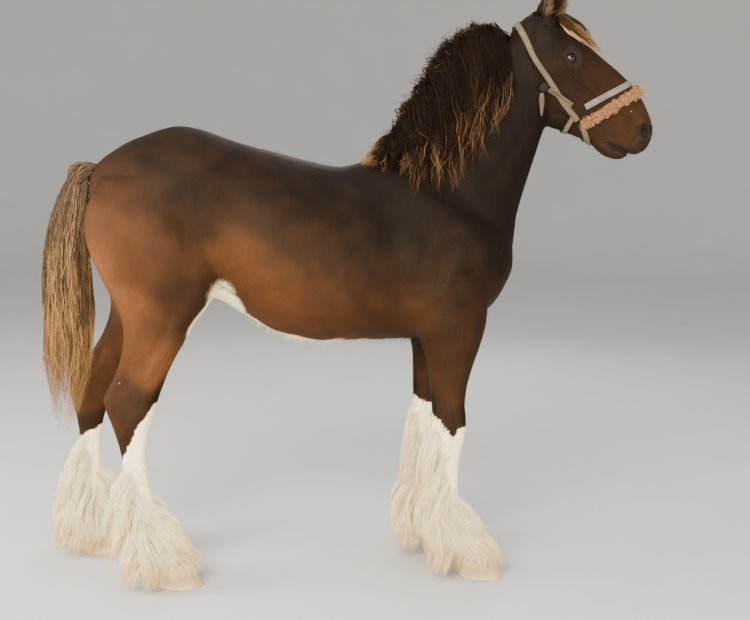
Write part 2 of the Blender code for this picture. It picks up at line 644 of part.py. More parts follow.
def ribbon_prism(name, path, width, near, far):
    """A band along a path in the side view, of one width or a width at each point, from y near to y far."""
    path = np.asarray(path, float)
    along = np.gradient(path, axis=0)
    along /= np.linalg.norm(along, axis=1)[:, None]
    across = np.column_stack([-along[:, 1], along[:, 0]]) * np.broadcast_to(width, len(path))[:, None] / 2
    rings = []
    for point, off in zip(path, across):
        a, b = point + off, point - off
        rings.append([(a[0], near, a[1]), (a[0], far, a[1]), (b[0], far, b[1]), (b[0], near, b[1])])
    return loft(name, rings)


def wrap(name, form, path, width, lift, thickness, clear_of, near=-0.3, far=0.3):
    """A band lying round a form, cut clear of the solids that carry it."""
    band = swollen(form, name, lift + thickness)
    combine(band, ribbon_prism(name + "_path", path, width, near, far), "INTERSECT")
    for carrier in clear_of:
        combine(band, swollen(carrier, name + "_bed", lift), "DIFFERENCE")
    return keep_largest(band)


def carve_groove(head, path, width, depth):
    """A narrow groove along a path round the front and both sides of the head."""
    tool = ribbon_prism("groove", path, width, -0.2, 0.2)
    combine(tool, swollen(head, "groove_bed", -depth), "DIFFERENCE")
    combine(head, tool, "DIFFERENCE")


def eye_centre(side):
    along, front, out = EYE_PLACE
    return np.array(in_head(along, front, side * out))


def almond(name, side):
    """The opening between the lids, as a solid that points out of the head."""
    centre = eye_centre(side)
    down = np.array((math.cos(HEAD_TILT), 0, -math.sin(HEAD_TILT)))
    ahead = np.array((math.sin(HEAD_TILT), 0, math.cos(HEAD_TILT)))
    half_long, half_high = EYE_OPENING
    ring = []
    for k in range(12):
        turn = 2 * math.pi * k / 12
        pinch = 1 - 0.25 * abs(math.cos(turn)) ** 3
        ring.append(math.cos(turn) * half_long * down + math.sin(turn) * half_high * pinch * ahead)
    out = np.array((0, side, 0))
    return loft(name, [[centre + p + reach * out for p in ring] for reach in (0.005, 0.05)])


def add_lids(head, side):
    """The lids stand round the eyeball and leave an almond-shaped opening."""
    centre = eye_centre(side)
    lid = ellipsoid("lid", centre, (EYE_RADIUS + 0.0032,) * 3, segments=12, rings=8)
    combine(head, lid, "UNION")
    combine(head, ellipsoid("socket", centre, (EYE_RADIUS + CUT_GAP,) * 3, segments=12, rings=8), "DIFFERENCE")
    combine(head, almond("opening", side), "DIFFERENCE")


def make_head(skin):
    head = length_of_skin("head_length", skin, [cut_plane(THROAT_CUT, flip=True)], HEAD_FACES)
    for side in (-1, 1):
        along, front, out = NOSTRIL_PLACE
        nostril = ellipsoid("nostril_hollow", in_head(along, front, side * out), NOSTRIL_RADII,
                            pitch=NOSTRIL_PITCH, segments=10, rings=6)
        combine(head, nostril, "DIFFERENCE")
    carve_groove(head, [on_head(*place) for place in MOUTH], MOUTH_WIDTH, MOUTH_DEPTH)
    for side in (-1, 1):
        add_lids(head, side)
    return keep_largest(head)


def make_eye(side):
    ball = ellipsoid("eyeball", eye_centre(side), (EYE_RADIUS,) * 3, segments=12, rings=8)
    return name_node(ball, "eye_left" if side > 0 else "eye_right", "eye")


def ear_shape(name, side, outline, push):
    """Rings up the ear, pushed toward its mouth by a share of its own depth."""
    root = Vector(in_head(EAR_ROOT[0], EAR_ROOT[1], side * EAR_ROOT[2]))
    up = Vector((EAR_LEANS[side], side * 0.16, 0.95)).normalized()
    mouth = Vector((0.55, side * 0.80, 0))
    mouth = (mouth - up * mouth.dot(up)).normalized()
    across = up.cross(mouth)
    rings = []
    for share, half, depth in outline:
        curl = 0.014 * math.sin(math.pi * share)
        outer_depth = np.interp(share, [row[0] for row in EAR], [row[2] for row in EAR])
        centre = root + up * share * EAR_LENGTH + mouth * (push * outer_depth - curl)
        rings.append([centre + across * half * math.cos(t) + mouth * depth * math.sin(t)
                      for t in 2 * math.pi * np.arange(EAR_TURNS) / EAR_TURNS])
    return loft(name, rings)


def make_ear(head, side):
    ear = ear_shape("ear_outside", side, EAR, 0.0)
    combine(ear, ear_shape("ear_hollow", side, EAR_HOLLOW, 0.70), "DIFFERENCE")
    combine(ear, swollen(head, "ear_bed", CUT_GAP), "DIFFERENCE")
    return name_node(keep_largest(ear), "ear_left" if side > 0 else "ear_right", "coat")


def make_hoof(pair, side):
    """A hoof: a sloping wall from the coronet to a flat sole on the floor."""
    stations = FORE_LEG if pair == "fore" else HIND_LEG
    front, rear, y, half = stations[-1][:4]
    swing = swing_at(leg_swing(pair, side), 0)
    heel, toe = rear[0] + swing, front[0] + swing
    rings = []
    for height, ahead, behind, spread in HOOF_RINGS:
        long = (toe + ahead - heel + behind) / 2
        middle = (toe + ahead + heel - behind) / 2
        ring = []
        for t in 2 * math.pi * np.arange(16) / 16:
            blunt = 1.0 if math.cos(t) > 0 else 0.82
            c = math.copysign(abs(math.cos(t)) ** 0.85, math.cos(t))
            beside = (half + spread) * math.sin(t) * blunt ** abs(math.cos(t))
            ring.append((middle + long * c, side * y + beside, height))
        rings.append(ring)
    hoof = loft("hoof", rings)
    return name_node(hoof, f"hoof_{pair}_{'left' if side > 0 else 'right'}", "hoof")


def make_cannon(skin, pair, side):
    """The lower leg from under the knee or hock to the coronet."""
    top = FORE_CANNON_TOP if pair == "fore" else HIND_CANNON_TOP
    return length_of_skin("cannon", skin, leg_planes(pair, side, top, CORONET), CANNON_FACES)


def leg_planes(pair, side, top, bottom):
    planes = [level(top, True), level(bottom, False), ((0, 0, 0), (0, -side, 0))]
    if pair == "fore":
        planes.append(((0, 0, 0), (-1, 0, 0)))
    else:
        planes.append(((HIND_LEG_FRONT, 0, 0), (1, 0, 0)))
    return planes


def tree_of(obj):
    faces = [tuple(face.vertices) for face in obj.data.polygons]
    return BVHTree.FromPolygons([vertex.co for vertex in obj.data.vertices], faces)


def keep_clear(ring, trees, side):
    """Moves a ring as a whole out of the solids that hair must not touch, off the floor and to its own side."""
    for tree in list(trees) + list(trees):
        worst, push = 0.0, Vector((0, 0, 0))
        for point in ring:
            near, normal, _, _ = tree.find_nearest(point, 0.2)
            lack = HAIR_CLEARANCE - (point - near).dot(normal) if near else 0.0
            if lack > worst:
                worst, push = lack, normal * lack
        ring = [point + push for point in ring]
    lift = max(0.0, FLOOR_CLEARANCE - min(point.z for point in ring))
    aside = max(0.0, HAIR_CLEARANCE - min(side * point.y for point in ring)) if side else 0.0
    return [point + Vector((0, side * aside, lift)) for point in ring]


def lock(group, path, outward, width, thickness, sections=6, clear_of=(), fullness=2.2, side=0):
    """A flat lock along a path: widest a third of the way down, drawn out to a tip."""
    rows = smooth_rows(path, 4)
    places = np.linspace(0, len(rows) - 1, sections).round().astype(int)
    along = np.gradient(rows, axis=0)
    rings = []
    for order, place in enumerate(places):
        share = order / (sections - 1)
        out = Vector(outward(share)).normalized()
        across = Vector(along[place]).cross(out).normalized()
        out = across.cross(Vector(along[place])).normalized()
        full = (0.62 + 0.38 * math.sin(math.pi * min(1.0, 1.5 * share))) * (1.0 - 0.93 * share ** fullness)
        thick = thickness * (1.0 - 0.80 * share ** 2)
        centre = Vector(rows[place])
        ring = [centre + across * width * full / 2, centre + out * thick / 2,
                centre - across * width * full / 2, centre - out * thick / 2]
        rings.append(keep_clear(ring, clear_of, side) if share > 0.1 else ring)
    return loft_in(group, "lock", rings)


def loft_in(group, name, rings):
    """A loft kept in a collection of its own, for one union."""
    piece = loft(name, rings)
    collection("workpieces").objects.unlink(piece)
    collection(group).objects.link(piece)
    return piece


def fuse(node, group, neighbours=()):
    """Cuts the pieces of a collection clear of the neighbours, joins them to a node and removes them."""
    pieces = collection(group)
    settle(node, "TRIANGULATE")
    for order, piece in enumerate(list(pieces.objects)):
        settle(piece, "TRIANGULATE")
        for neighbour in neighbours:
            combine(piece, swollen(neighbour, "room", HAIR_GAP * (1 + HAIR_GAP_STEP * order)), "DIFFERENCE")
            keep_largest(piece)
    settle(node, "BOOLEAN", operand_type="COLLECTION", collection=pieces, operation="UNION", solver="MANIFOLD")
    for piece in list(pieces.objects):
        bpy.data.objects.remove(piece)
    bpy.data.collections.remove(pieces)
    return keep_largest(node)


def crest_height(tree, x):
    hit = tree.ray_cast(Vector((x, 0, 2.6)), Vector((0, 0, -1)))[0]
    return hit.z


def beside_skin(tree, x, z, side, stand_off):
    """The point at a distance off the skin, seen from one side."""
    hit = tree.ray_cast(Vector((x, side * 0.8, z)), Vector((0, -side, 0)))[0]
    y = hit.y if hit else 0.0
    return (x, y + side * stand_off, z)


def crest_normal(tree, x):
    """Upward normal of the crest's line in the side view."""
    slope = (crest_height(tree, x + 0.02) - crest_height(tree, x - 0.02)) / 0.04
    return Vector((-slope, 0, 1)).normalized()


def add_mane(neck, skin_tree, neighbours):
    """A low ridge of hair roots, locks that arch over it and fall down the right side, and tufts on top."""
    draw = random.Random(SEED)
    clear_of = [tree_of(neighbour) for neighbour in neighbours]
    xs, drifts, falls, rises = np.array(MANE).T
    ridge = []
    for x in np.linspace(xs[0] + 0.03, xs[-1] - 0.03, 9):
        base = Vector((x, 0, crest_height(skin_tree, x)))
        up = crest_normal(skin_tree, x)
        lift = 0.50 * np.interp(x, xs, rises)
        ridge.append([base + up * high + Vector((0, y, 0)) for y, high in (
            (0.024, -0.030), (0.020, 0.25 * lift), (-0.002, lift), (-0.034, 0.70 * lift), (-0.050, -0.030))])
    loft_in("mane_locks", "ridge", ridge)
    for k in range(MANE_LOCKS):
        layer = k % 3
        share = (k + 0.4) / MANE_LOCKS
        x = xs[0] + share * (xs[-1] - xs[0])
        drift = np.interp(x, xs, drifts) + draw.uniform(-0.016, 0.016)
        fall = np.interp(x, xs, falls) * draw.uniform(0.86, 1.05)
        rise = np.interp(x, xs, rises) * draw.uniform(0.62, 0.95)
        base = Vector((x, 0, crest_height(skin_tree, x)))
        up = crest_normal(skin_tree, x)
        over = base + up * rise
        path = [base - up * 0.018 + Vector((0, 0.006, 0)), base + up * 0.55 * rise + Vector((0, 0.004, 0)),
                over + Vector((0, -0.022, 0)),
                base + up * 0.45 * rise + Vector((0.15 * drift, -0.050 - 0.20 * rise - 0.005 * layer,
                                                  -0.03 - 0.1 * fall))]
        sway = draw.uniform(-0.014, 0.014)
        for reach in (0.45, 0.74, 1.0):
            off = (0.014 + 0.013 * layer) * (1.15 - 0.35 * reach)
            bend = sway * math.sin(2.6 * math.pi * reach)
            path.append(beside_skin(skin_tree, x + drift * reach + bend, base.z - fall * reach, -1, off))
        lock("mane_locks", path, lambda share: up * max(0.0, 1 - 2.2 * share) + Vector((0, -0.15 - share, 0)),
             draw.uniform(0.070, 0.088), 0.012, 7, clear_of, 2.6)
    for k in range(MANE_TUFTS):
        x = MANE_TUFT_REAR + (MANE_TUFT_FRONT - MANE_TUFT_REAR) * k / (MANE_TUFTS - 1) + draw.uniform(-0.012, 0.012)
        rise = np.interp(x, xs, rises) * draw.uniform(0.86, 1.00)
        base = Vector((x, 0, crest_height(skin_tree, x)))
        up = crest_normal(skin_tree, x)
        lean = draw.uniform(-0.20, 0.10)
        sweep = draw.uniform(-0.030, 0.020)
        path = [base - up * 0.02, base + up * 0.45 * rise,
                base + up * 0.85 * rise + Vector((0.3 * sweep, lean * rise, 0)),
                base + up * 1.05 * rise + Vector((sweep, 1.8 * lean * rise, 0.02))]
        lock("mane_locks", path, lambda share: (0.25, 1, 0), 0.090, 0.016, 4, clear_of, 2.6)
    return fuse(neck, "mane_locks", neighbours)


def add_forelock(head, ears):
    """Locks from between the ears down the forehead, most of them to the left."""
    draw = random.Random(SEED + 1)
    tree = tree_of(head)
    ear_trees = [tree_of(ear) for ear in ears]
    ahead = (math.sin(HEAD_TILT), 0, math.cos(HEAD_TILT))
    for k in range(FORELOCK_LOCKS):
        share = k / (FORELOCK_LOCKS - 1)
        root_y, tip_y = -0.007 + 0.014 * share, -0.020 + 0.085 * share
        reach = draw.uniform(0.17, 0.24)
        path = [in_head(0.002, -0.035, root_y), in_head(0.016, 0.024, root_y)]
        for step in (0.35, 0.7, 1.0):
            along = 0.02 + reach * step
            y = root_y + (tip_y - root_y) * step ** 2
            start = Vector(in_head(along, 0.3, y))
            hit = tree.ray_cast(start, -Vector(ahead))[0]
            lift = (FORELOCK_LIFT + FORELOCK_LAYER * (k % 3)) * (1.3 - 0.6 * step)
            path.append(tuple(hit + Vector(ahead) * lift))
        lock("forelock_locks", path, lambda share: ahead, draw.uniform(0.032, 0.042), FORELOCK_THICKNESS, 5,
             ear_trees, 2.8)
    return fuse(head, "forelock_locks", ears)


def add_tail(torso, clear_of):
    """The dock and its locks, hung in rings round the middle line of the hair."""
    draw = random.Random(SEED + 2)
    rows = smooth_rows(DOCK, 2)
    along = np.gradient(rows[:, :2], axis=0)
    along /= np.linalg.norm(along, axis=1)[:, None]
    turns = 2 * math.pi * np.arange(8) / 8
    rings = []
    for (x, z, r), u in zip(rows, along):
        rings.append([(x - u[1] * r * math.cos(t), r * math.sin(t), z + u[0] * r * math.cos(t)) for t in turns])
    dock = loft("dock", rings)
    heights = [row[1] for row in TAIL][::-1]
    middle, deep, wide = ([row[i] for row in TAIL][::-1] for i in (0, 2, 3))
    for k in range(TAIL_LOCKS):
        outer = k < TAIL_OUTER_LOCKS
        inner_locks = TAIL_LOCKS - TAIL_OUTER_LOCKS
        order = k / TAIL_OUTER_LOCKS if outer else (k - TAIL_OUTER_LOCKS + 0.5) / inner_locks
        turn = 2 * math.pi * order + draw.uniform(-0.1, 0.1)
        root_z = 1.470 - (0.10 if outer else 0.22) * draw.random()
        tip_z = draw.uniform(0.56, 0.72) if outer else draw.uniform(0.55, 0.66)
        fill = 1.0 if outer else 0.5
        root_x = np.interp(root_z, [row[1] for row in DOCK][::-1], [row[0] for row in DOCK][::-1])
        path = [(root_x, 0, root_z + 0.03)]
        for step in (0.10, 0.30, 0.52, 0.76, 1.0):
            z = root_z + (tip_z - root_z) * step
            spread = fill * (0.80 if step == 0.10 else 1.0) * (0.72 if step == 1.0 else 1.0)
            path.append((np.interp(z, heights, middle) + spread * np.interp(z, heights, deep) * math.cos(turn),
                         spread * np.interp(z, heights, wide) * math.sin(turn), z))
        face = (math.cos(turn), math.sin(turn), 0.05)
        lock("tail_locks", path, lambda share: face, draw.uniform(0.062, 0.080), 0.018, 6, clear_of)
    tail = fuse(dock, "tail_locks")
    combine(tail, swollen(torso, "tail_bed", CUT_GAP), "DIFFERENCE")
    return keep_largest(tail)


def leg_middle(pair, side, height):
    """Middle of a leg at a height, between its front and rear edges."""
    stations = leg_stations(FORE_LEG if pair == "fore" else HIND_LEG, side, leg_swing(pair, side))
    fronts = sorted((a[1], a[0]) for a, b, *rest in stations)
    rears = sorted((b[1], b[0]) for a, b, *rest in stations)
    x = (np.interp(height, *zip(*fronts)) + np.interp(height, *zip(*rears))) / 2
    return Vector((x, stations[-1][2], height))


def skin_reach(skin_tree, middle, face):
    """Distance from the middle of a leg out to its skin, in one direction."""
    hit = skin_tree.ray_cast(middle, face)[0]
    return (hit - middle).dot(face)


def feather_core(pair, side, skin_tree):
    """The closed middle of the hair, half way out to the tips at most."""
    rings = []
    for height, rear, beside, share in FEATHER_BELL:
        middle = leg_middle(pair, side, height)
        ring = []
        for turn in 2 * math.pi * np.arange(FEATHER_TURNS) / FEATHER_TURNS:
            face = Vector((-math.cos(turn), math.sin(turn), 0))
            first = skin_reach(skin_tree, middle, face)
            behind = max(0.0, math.cos(turn)) ** 1.5
            ahead = max(0.0, -math.cos(turn))
            bell = beside + (rear - beside) * behind + (first + 0.006 - beside) * ahead
            point = middle + face * (first + share * (bell - first))
            point.y = side * max(side * point.y, HAIR_CLEARANCE)
            ring.append(point)
        rings.append(ring)
    loft_in("feather_locks", "core", rings)


def add_feather(cannon, pair, side, skin_tree, neighbours):
    """Long hair of the lower leg: locks from the rear and sides that fall over the hoof."""
    draw = random.Random(f"{SEED} {pair} {side}")
    clear_of = [tree_of(neighbour) for neighbour in neighbours]
    rows = FEATHER if pair == "fore" else FEATHER[1:]
    raised = 0.0 if pair == "fore" else 0.010
    feather_core(pair, side, skin_tree)
    for root_z, degrees, tip_z, reach, on_edge in rows:
        turn = math.radians(degrees + draw.uniform(-5, 5))
        face = Vector((-math.cos(turn), math.sin(turn), 0))
        root_z += raised
        tip_z *= draw.uniform(0.85, 1.15)
        base = leg_middle(pair, side, root_z)
        first = skin_reach(skin_tree, base, face)
        root = base + face * first
        path = [root - face * 0.016 + Vector((0, 0, 0.012)),
                root + face * 0.009 - Vector((0, 0, 0.12 * (root_z - tip_z)))]
        for step, share in ((0.45, 0.72), (1.0, 1.0)):
            z = root_z + (tip_z - root_z) * step
            out = first + 0.012 + (reach - first - 0.012) * share
            point = leg_middle(pair, side, max(z, CORONET)) + face * out
            path.append((point.x, point.y, z))
        flat = Vector((face.y, -face.x, 0)) if on_edge else face + Vector((0, 0, 0.2))
        lock("feather_locks", path, lambda share: flat, draw.uniform(0.070, 0.086),
             0.014, 5, clear_of, 2.8, side)
    return fuse(cannon, "feather_locks", neighbours)


def boss(name, form, centre, radius, thickness, side, clear_of):
    """A round leather button lying on one side of a form."""
    turns = 2 * math.pi * np.arange(12) / 12
    rings = [[(centre[0] + radius * math.cos(t), y, centre[1] + radius * math.sin(t)) for t in turns]
             for y in (0.0, side * 0.3)]
    button = swollen(form, name, thickness)
    combine(button, loft(name + "_round", rings), "INTERSECT")
    for carrier in clear_of:
        combine(button, swollen(carrier, name + "_bed", CUT_GAP), "DIFFERENCE")
    return keep_largest(button)


def make_halter(form, head, neck):
    """The headcollar: crown and cheek webbing, fleece noseband, nose, chin and jaw straps, and loose ends."""
    beds = [head, neck]
    narrow = STRAP_WIDTH * 0.9
    straps = [
        ("halter_crown_strap", CROWN_STRAP, STRAP_WIDTH, STRAP_THICKNESS, "webbing"),
        ("halter_fleece_noseband", FLEECE, FLEECE_WIDTH, FLEECE_THICKNESS, "fleece"),
        ("halter_nose_strap", NOSE_STRAP, STRAP_WIDTH, STRAP_THICKNESS, "strap"),
        ("halter_chin_strap", CHIN_STRAP, narrow, STRAP_THICKNESS, "webbing"),
        ("halter_jaw_strap", JAW_STRAP, narrow, STRAP_THICKNESS, "webbing"),
    ]
    made = []
    for name, path, width, thickness, finish in straps:
        band = wrap(name, form, path, width, CUT_GAP * 2, thickness, beds + made[:2])
        made.append(name_node(band, name, finish))
    for side, label in ((-1, "right"), (1, "left")):
        near, far = sorted((0.0, side * 0.3))
        button = boss("button", form, TOGGLE_PLACE, TOGGLE_RADIUS, TOGGLE_THICKNESS, side,
                      beds + made[:1])
        button = name_node(button, "halter_toggle_" + label, "leather")
        under = beds + [made[0], button]
        buckled = wrap("buckled_end", form, BUCKLED_END, narrow * 0.75, CUT_GAP * 2, BUCKLED_END_THICKNESS,
                       under, near, far)
        name_node(buckled, "halter_strap_end_" + label, "webbing")
        loose = wrap("loose_end", form, HANGING_END, HANGING_WIDTHS, CUT_GAP * 2, LOOSE_END_THICKNESS,
                     under + [buckled], near, far)
        name_node(loose, "halter_hanging_end_" + label, "webbing")


def main():
    for obj in list(bpy.data.objects):
        bpy.data.objects.remove(obj)
    skin = make_skin()
    skin_tree = tree_of(skin)
    head = make_head(skin)
    neck_planes = [cut_plane(THROAT_CUT), cut_plane(NECK_CUT, flip=True)]
    neck = length_of_skin("neck_flesh", skin, neck_planes, NECK_FACES)
    form_planes = [cut_plane(HALTER_FORM_CUT, flip=True)]
    form = length_of_skin("halter_form", skin, form_planes, HALTER_FORM_FACES)
    ears = []
    for side in (-1, 1):
        make_eye(side)
        ears.append(make_ear(head, side))
    make_halter(form, head, neck)
    torso = length_of_skin("trunk_flesh", skin, [cut_plane(NECK_CUT), level(FORE_LEG_TOP, False)], TORSO_FACES)
    stub = ribbon_prism("hind_stub", [(HIND_LEG_FRONT, HIND_STUB_BOTTOM), (-1.4, HIND_STUB_BOTTOM)],
                        2 * (HIND_LEG_TOP - HIND_STUB_BOTTOM + CUT_GAP / 2), -0.5, 0.5)
    combine(torso, stub, "DIFFERENCE")
    strap = bpy.data.objects["halter_crown_strap"]
    head = add_forelock(head, ears)
    neck = add_mane(neck, skin_tree, [torso, strap, head])
    hind_trees = []
    for pair, upper_top, cannon_top in (("fore", FORE_LEG_TOP, FORE_CANNON_TOP),
                                        ("hind", HIND_LEG_TOP, HIND_CANNON_TOP)):
        for side in (-1, 1):
            label = f"{pair}_{'left' if side > 0 else 'right'}"
            upper = length_of_skin("limb", skin, leg_planes(pair, side, upper_top, cannon_top), UPPER_LEG_FACES)
            name_node(upper, "leg_" + label, "coat")
            if pair == "hind":
                hind_trees.append(tree_of(upper))
            hoof = make_hoof(pair, side)
            cannon = make_cannon(skin, pair, side)
            cannon = add_feather(cannon, pair, side, skin_tree, [hoof, upper])
            name_node(cannon, "cannon_" + label, "stocking")
    name_node(add_tail(torso, [tree_of(torso)] + hind_trees), "tail", "tail")
    name_node(torso, "torso", "coat")
    name_node(head, "head", "coat")
    name_node(neck, "neck", "coat")
    for obj in list(collection("workpieces").objects):
        bpy.data.objects.remove(obj)
    bpy.data.collections.remove(collection("workpieces"))


main()
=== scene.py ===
import math

import bmesh
import bpy
import numpy as np
from mathutils import Matrix, Vector
from mathutils.bvhtree import BVHTree


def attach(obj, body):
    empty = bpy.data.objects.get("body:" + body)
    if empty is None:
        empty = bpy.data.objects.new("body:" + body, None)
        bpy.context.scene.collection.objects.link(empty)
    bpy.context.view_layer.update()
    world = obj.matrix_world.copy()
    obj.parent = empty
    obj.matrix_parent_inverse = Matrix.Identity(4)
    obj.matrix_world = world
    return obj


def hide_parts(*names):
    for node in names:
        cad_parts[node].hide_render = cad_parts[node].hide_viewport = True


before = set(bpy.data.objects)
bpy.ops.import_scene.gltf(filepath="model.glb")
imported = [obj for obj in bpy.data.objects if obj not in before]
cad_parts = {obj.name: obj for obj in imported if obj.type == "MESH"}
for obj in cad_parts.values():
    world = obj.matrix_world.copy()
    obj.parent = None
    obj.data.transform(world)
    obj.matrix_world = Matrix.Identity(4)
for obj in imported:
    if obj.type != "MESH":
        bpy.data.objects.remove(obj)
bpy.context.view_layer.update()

# The shire horse stands at rest, life size, facing +X with its left side at +Y, in metres
POLL = np.array((0.696, 2.141))
HEAD_TILT = math.radians(48.7)
SKIN_VOXEL = 0.01
RING_POINTS = 40
STEPS_BETWEEN = 6
COAT_DEPTH = 0.0025
CORONET = 0.075
FLOOR_CLEARANCE = 0.006
PATCH = 0.003
MANE_LOCKS = 145
CREST_TUFTS = 210
FEATHER_LOCKS = 84
FRONT_LOCKS = 34
STOCKING_HAIRS = 3900
WITHERS_LOCKS = 13
FORELOCK_LOCKS = 34
EDGE_AND_RIM_LIGHT_LOCKS = 8
TAIL_LOCKS = 80
INNER_TAIL_LOCKS = 40
EAR_HAIRS = 620
WHISKERS = 46
COAT_TUFTS = 4600
FLEECE_CURLS = 5200
HOOF_POINTS = 48
# The camera: its focal length, the picture and the horizon in the picture's points, then metres
FOCAL_LENGTH = 1100
PICTURE = (750, 620)
HORIZON = 162.6
CAMERA_AIM = (0.11, 0, 1.57)
CAMERA_DISTANCE = 4.18

EYE_RADIUS = 0.024
EYE_PLACE = (0.207, -0.03, 0.0745)
EYE_OPENING = (0.02, 0.016)
NOSTRIL_PLACE = (0.602, 0.024, 0.062)
EAR_LENGTH = 0.185
STRAP_WIDTH = 0.022
STRAP_THICKNESS = 0.0035
FLEECE_WIDTH = 0.034
FLEECE_THICKNESS = 0.01
TOGGLE_PLACE = (0.712, 1.858)
TOGGLE_RADIUS = 0.016
HANGING_WIDTHS = (0.016, 0.023, 0.018, 0.008)

# Stations of the trunk and neck: upper point, lower point, middle y, half width,
# height of the widest place, squareness above and below it
TORSO = [
    ((0.625, 1.345), (0.605, 1.12), 0, 0.09, 0.5, 2.0, 2.0),
    ((0.585, 1.4), (0.555, 1.035), 0, 0.175, 0.5, 2.0, 2.2),
    ((0.5, 1.47), (0.45, 0.955), 0, 0.215, 0.5, 1.9, 2.3),
    ((0.35, 1.56), (0.32, 0.908), 0, 0.235, 0.5, 1.7, 2.2),
    ((0.18, 1.6), (0.17, 0.9), 0, 0.255, 0.45, 1.55, 2.1),
    ((0.08, 1.585), (0.07, 0.894), 0, 0.27, 0.45, 1.65, 2.1),
    ((-0.03, 1.556), (-0.03, 0.89), 0, 0.285, 0.45, 1.9, 2.1),
    ((-0.16, 1.577), (-0.15, 0.893), 0, 0.297, 0.46, 2.0, 2.1),
    ((-0.3, 1.612), (-0.27, 0.925), 0, 0.297, 0.47, 2.1, 2.1),
    ((-0.43, 1.648), (-0.39, 0.99), 0, 0.275, 0.5, 2.2, 2.0),
    ((-0.56, 1.688), (-0.5, 1.05), 0, 0.262, 0.55, 2.2, 2.0),
    ((-0.66, 1.692), (-0.62, 1.02), 0, 0.255, 0.55, 2.1, 2.0),
    ((-0.78, 1.648), (-0.74, 1.02), 0, 0.22, 0.55, 2.0, 2.0),
    ((-0.88, 1.59), (-0.85, 1.08), 0, 0.16, 0.55, 2.0, 2.0),
    ((-0.94, 1.54), (-0.925, 1.2), 0, 0.09, 0.55, 2.0, 2.0),
    ((-0.965, 1.5), (-0.955, 1.3), 0, 0.045, 0.55, 2.0, 2.0),
]
NECK = [
    ((0.02, 1.48), (0.45, 1.02), 0, 0.12, 0.45, 1.9, 2.2),
    ((0.13, 1.59), (0.59, 1.13), 0, 0.175, 0.42, 1.8, 2.2),
    ((0.23, 1.66), (0.634, 1.27), 0, 0.16, 0.42, 1.8, 2.2),
    ((0.32, 1.76), (0.652, 1.4), 0, 0.132, 0.42, 1.8, 2.1),
    ((0.41, 1.87), (0.682, 1.51), 0, 0.108, 0.42, 1.9, 2.1),
    ((0.51, 1.97), (0.712, 1.61), 0, 0.092, 0.44, 2.0, 2.1),
    ((0.61, 2.055), (0.744, 1.715), 0, 0.084, 0.48, 2.0, 2.1),
    ((0.68, 2.11), (0.79, 1.815), 0, 0.07, 0.5, 2.0, 2.0),
]
# Stations of the head, measured from the poll down the face: distance along,
# front edge, rear edge, half width, place of the widest, squareness front and rear
HEAD = [
    (-0.015, -0.03, -0.11, 0.03, 0.6, 2.0, 2.0),
    (0.01, 0.005, -0.15, 0.058, 0.6, 2.2, 2.0),
    (0.06, 0.03, -0.18, 0.078, 0.62, 2.4, 2.0),
    (0.11, 0.045, -0.195, 0.088, 0.66, 2.6, 1.9),
    (0.165, 0.056, -0.204, 0.096, 0.68, 2.8, 1.8),
    (0.22, 0.068, -0.22, 0.098, 0.71, 2.8, 1.8),
    (0.283, 0.082, -0.238, 0.086, 0.72, 2.7, 1.8),
    (0.353, 0.1, -0.24, 0.073, 0.7, 2.5, 1.8),
    (0.417, 0.111, -0.203, 0.064, 0.66, 2.4, 2.0),
    (0.487, 0.115, -0.164, 0.057, 0.58, 2.3, 2.2),
    (0.54, 0.106, -0.14, 0.056, 0.56, 2.3, 2.3),
    (0.585, 0.092, -0.105, 0.06, 0.55, 2.3, 2.2),
    (0.625, 0.072, -0.07, 0.06, 0.52, 2.3, 2.2),
    (0.655, 0.035, -0.045, 0.05, 0.5, 2.2, 2.2),
    (0.668, 0.005, -0.03, 0.03, 0.5, 2.0, 2.0),
]
CHIN = [
    (0.5, -0.1, -0.15, 0.03, 0.5, 2.0, 2.0),
    (0.54, -0.09, -0.15, 0.04, 0.5, 2.2, 2.2),
    (0.585, -0.08, -0.14, 0.043, 0.5, 2.3, 2.3),
    (0.62, -0.066, -0.118, 0.042, 0.5, 2.3, 2.3),
    (0.64, -0.066, -0.096, 0.03, 0.5, 2.0, 2.0),
]
